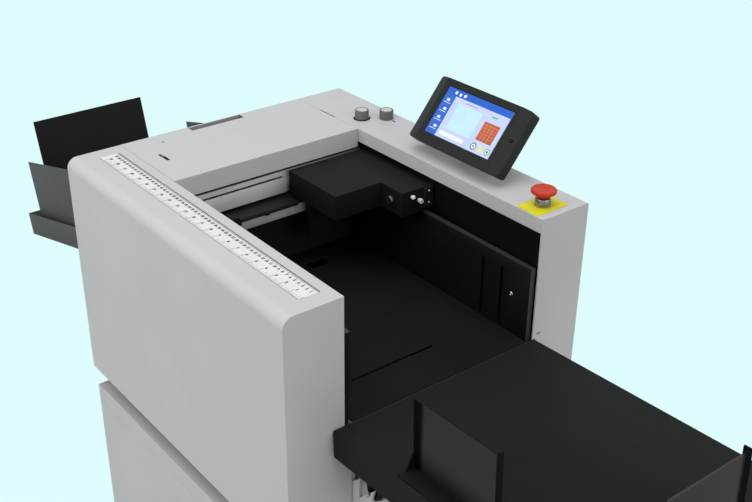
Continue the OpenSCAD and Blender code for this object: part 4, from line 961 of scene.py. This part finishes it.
# %% Lift screw and rods
LIFT_X, PITCH, SCREW_LOW, SCREW_LEN = -237, 4, 705.3, 187.7
THREAD = [(6.2, 0), *row(int(SCREW_LEN / PITCH), 0, PITCH, ((5.8, 0.4), (7, 1.5), (7, 2.5), (5.8, 3.6))),
          (5.8, SCREW_LEN - 0.5), (5, SCREW_LEN)]
lift_screw = turned("lift_screw_thread", (LIFT_X, 0, SCREW_LOW), "z", THREAD, 28, 25)
wear(lift_screw, steel_z, "bright_steel", "lift_screw", "screw")
eased("guide_rods", 0.8, steel_z, "bright_steel")

# %% [markdown]
# The drive motor is a round can with end bells and cooling ridges. The lift motor is square: a stack of
# dark laminations between two light end caps with a screw in each corner.

# %% Motors
CAN = [(33, 0), (35, 1.5), (35, 12), (33.6, 12.8),
       *row(8, 14, 5, ((33.6, 0), (35, 0.6), (35, 2.6), (33.6, 3.2))),
       (33.6, 55), (35, 55.8), (35, 66.5), (33, 68), (6, 68)]
drive_motor = turned("drive_motor_can", (CREASE_X, 132, 889), "y", CAN, 56)
wear(drive_motor, cast_dark, "motor_metal", "drive_motors")
MOTOR_HALF, PAN_TOP = 28.5, 701
lift_motor = []
for low, high, inset in ((0, 12, 0), (12, 43, 1.2), (43, 55, 0)):
    half = MOTOR_HALF - inset
    layer = block("motor_layer", LIFT_X - half, LIFT_X + half, -half, half, PAN_TOP + low, PAN_TOP + high)
    lift_motor.append(ease(round_corners(layer, (0, 0, 1), 5, 3), 0.5))
lift_motor = wear(join(lift_motor, "lift_motor_stack"), alloy, "motor_metal", "drive_motors")
second_tone(lift_motor, cast_dark, lambda p: PAN_TOP + 12.5 < p.z < PAN_TOP + 42.5)
corner = MOTOR_HALF - 5
screws("motor_screw", (LIFT_X, 0, PAN_TOP + 55), "z", 2.6, 1.8, zinc,
       [(a * corner, b * corner, 0) for a in (-1, 1) for b in (-1, 1)])

# %% [markdown]
# The vacuum pump is a cast block with ribs, driven by its own motor. A ribbed hose takes the air from it,
# up inside the control arm and into the head. The hose is fixed at both ends, so it is a formed part and
# not a loose cord.

# %% Pump
PUMP_X, PUMP_Z = -385, 751
pump = [round_corners(block("pump_block", PUMP_X - 46, PUMP_X + 46, 56, 184, 703, 799), (0, 1, 0), 12)]
ease(pump[0], 1.5)
pump += [round_corners(block("pump_rib", PUMP_X - 50, PUMP_X + 50, y, y + 6, PAN_TOP, 801), (0, 1, 0), 12)
         for y in (50, 74, 98, 122, 146, 184)]
pump.append(turned("pump_motor", (PUMP_X, -20, PUMP_Z), "y",
                   [(30, 0), (34, 3), (34, 14), (32.6, 15), (32.6, 55), (34, 56), (34, 70.5)], 56))
wear(join(pump, "vacuum_pump_cast"), cast_dark, "motor_metal", "vacuum_pump")

# %% Hose
HOSE_Y, HOSE_LOW, HOSE_HIGH, BEND = 248, PUMP_Z, 1058, 40
route = [(190 + 6 * i, HOSE_LOW, 0) for i in range(3)]
route += [(HOSE_Y - BEND + BEND * math.sin(a), HOSE_LOW + BEND - BEND * math.cos(a), a)
          for a in (math.radians(9 * i) for i in range(1, 11))]
route += [(HOSE_Y, z, math.pi / 2) for z in range(798, 1018, 7)]
route += [(HOSE_Y - BEND + BEND * math.cos(a), HOSE_HIGH - BEND + BEND * math.sin(a), math.pi / 2 + a)
          for a in (math.radians(9 * i) for i in range(11))]
route.append((201, HOSE_HIGH, math.pi))
hose = []
for y, z, angle in route:
    bpy.ops.mesh.primitive_torus_add(major_radius=9.6 * MM, minor_radius=1.4 * MM, major_segments=24,
                                     minor_segments=6)
    rib = bpy.context.active_object
    rib.matrix_world = (MACHINE @ Matrix.Translation(Vector((PUMP_X, y, z)) * MM)
                        @ Matrix.Rotation(angle - math.pi / 2, 4, "X"))
    hose.append(settle(rib, "hose_rib"))
bpy.ops.mesh.primitive_circle_add(vertices=24, radius=9.4 * MM, fill_type="NGON")
tube = bpy.context.active_object
tube.matrix_world = MACHINE @ Matrix.Translation(Vector((PUMP_X, 190, HOSE_LOW)) * MM) @ LATHE["y"]
settle(tube, "hose_tube")
edit(tube)
for (y0, z0, turn0), (y1, z1, turn1) in zip(route, route[1:]):
    bpy.ops.mesh.extrude_region_move(TRANSFORM_OT_translate={"value": (0, (y1 - y0) * MM, (z1 - z0) * MM)})
    if turn1 != turn0:
        bpy.ops.transform.rotate(value=-(turn1 - turn0), orient_axis="X", center_override=pt(PUMP_X, y1, z1))
close()
bpy.ops.object.shade_smooth_by_angle(angle=math.radians(50))
wear(join(hose + [tube], "vacuum_hose_ribbed"), rubber, "hose_rubber", "vacuum_hose")

# %% [markdown]
# The suction drum turns in the head's window. Its rubber sleeve has grooves that let air reach the sheet.

# %% Suction drum
DRUM = [(5, -6), (5, 0), (15, 0), (16, 1), *row(6, 8, 10, ((16, -1.6), (14.8, -1.2), (14.8, 1.2), (16, 1.6))),
        (16, 65), (15, 66), (5, 66), (5, 72)]
sleeve = turned("suction_drum_sleeve", (-381, 52, 1049), "y", DRUM, 56)
wear(sleeve, grip_rubber, "roller", "suction_drum", "drum")

# %% [markdown]
# The power supply is a folded metal case with rows of air holes. The holes are shallow dark discs.

# %% Power supply
SUPPLY_X, SUPPLY_HALF, HOLE_PITCH = -237, 80, 9.6
eased("power_supply", 1.2, alloy, "supply_metal")
hole = turned("supply_hole", (SUPPLY_X + SUPPLY_HALF - 12, 268.1, 735), "y",
              [(2.4, -0.2), (2.4, -0.05), (2.1, 0.02)], 8)
holes = copies(hole, "supply_holes",
               [(-HOLE_PITCH * i, 0, HOLE_PITCH * j) for i in range(13) for j in range(10)])
wear(holes, black_plastic, "supply_metal")

# %% [markdown]
# The cabinet stands on four levelling feet: a rubber pad, a zinc stem and a lock nut.

# %% Levelling feet
FEET = [(x, side * 240, 0) for x in (-600, -60) for side in (-1, 1)]
pad = turned("foot_pad", (0, 0, 0), "z", [(23.6, 0), (25, 1.4), (25, 5), (23, 7.4), (12, 8.4), (8, 10)], 48)
wear(copies(pad, "foot_pads", FEET), rubber, "foot_rubber", "levelling_feet")
stem = [turned("foot_stem", (0, 0, 8), "z", [(6, 0), (6, 21.8)], 28),
        turned("foot_nut", (0, 0, 22), "z", [(9.4, 0), (10, 0.5), (10, 5.5), (9.4, 6)], 6, 20)]
wear(copies(join(stem, "foot_stem"), "foot_stems", FEET), zinc, "bright_steel")

# %% [markdown]
# The back holds what the photo doesn't show: screws along the panels' edges and the pins inside the mains
# inlet. The door has a round lock above its pull. A thin dark slit lies in the end of the control arm.

# %% Screws, inlet pins and lock
REAR_X, CABINET_X = -BODY_LEN, -650
screws("rear_screw", (REAR_X, 0, 0), "-x", 4, 2, zinc,
       [(0, side * y, z) for side in (-1, 1) for y in (180, 200) for z in (712, 850, 985)])
screws("cabinet_screw", (CABINET_X, 0, 0), "-x", 4, 2, zinc,
       [(0, side * 278, z) for side in (-1, 1) for z in (48, 344, 640)] + [(0, 0, z) for z in (48, 640)])
pins = [block("inlet_pin", REAR_X, REAR_X + 14, y - 1, y + 1, z - 3, z + 3, 0.4)
        for y, z in ((234, 742), (248, 742), (241, 746.5))]
wear(join(pins, "inlet_pins"), brass, "bright_steel")
LOCK_X, LOCK_Z = -88, 430
lock = turned("door_lock", (LOCK_X, HALF_W, LOCK_Z), "y",
              [(9, -2), (9, 0.9), (8.2, 1.7), (6.4, 1.9), (6, 1.2), (2, 1.2)], 40, 30)
wear(lock, dull_chrome, "bright_steel", body="door")
lock_slot = block("lock_slot", LOCK_X - 0.6, LOCK_X + 0.6, HALF_W + 1.1, HALF_W + 1.25, LOCK_Z - 3.5,
                  LOCK_Z + 3.5, 0.05)
wear(lock_slot, fence_coat, "black_sheet", body="door")
wear(block("end_slit", -0.5, 0.05, 199, 207.5, 910, 912, 0.02), black_coat, "black_sheet")

# %% [markdown]
# The view layer is brought up to date at the end.

# %% Update at the end
bpy.context.view_layer.update()
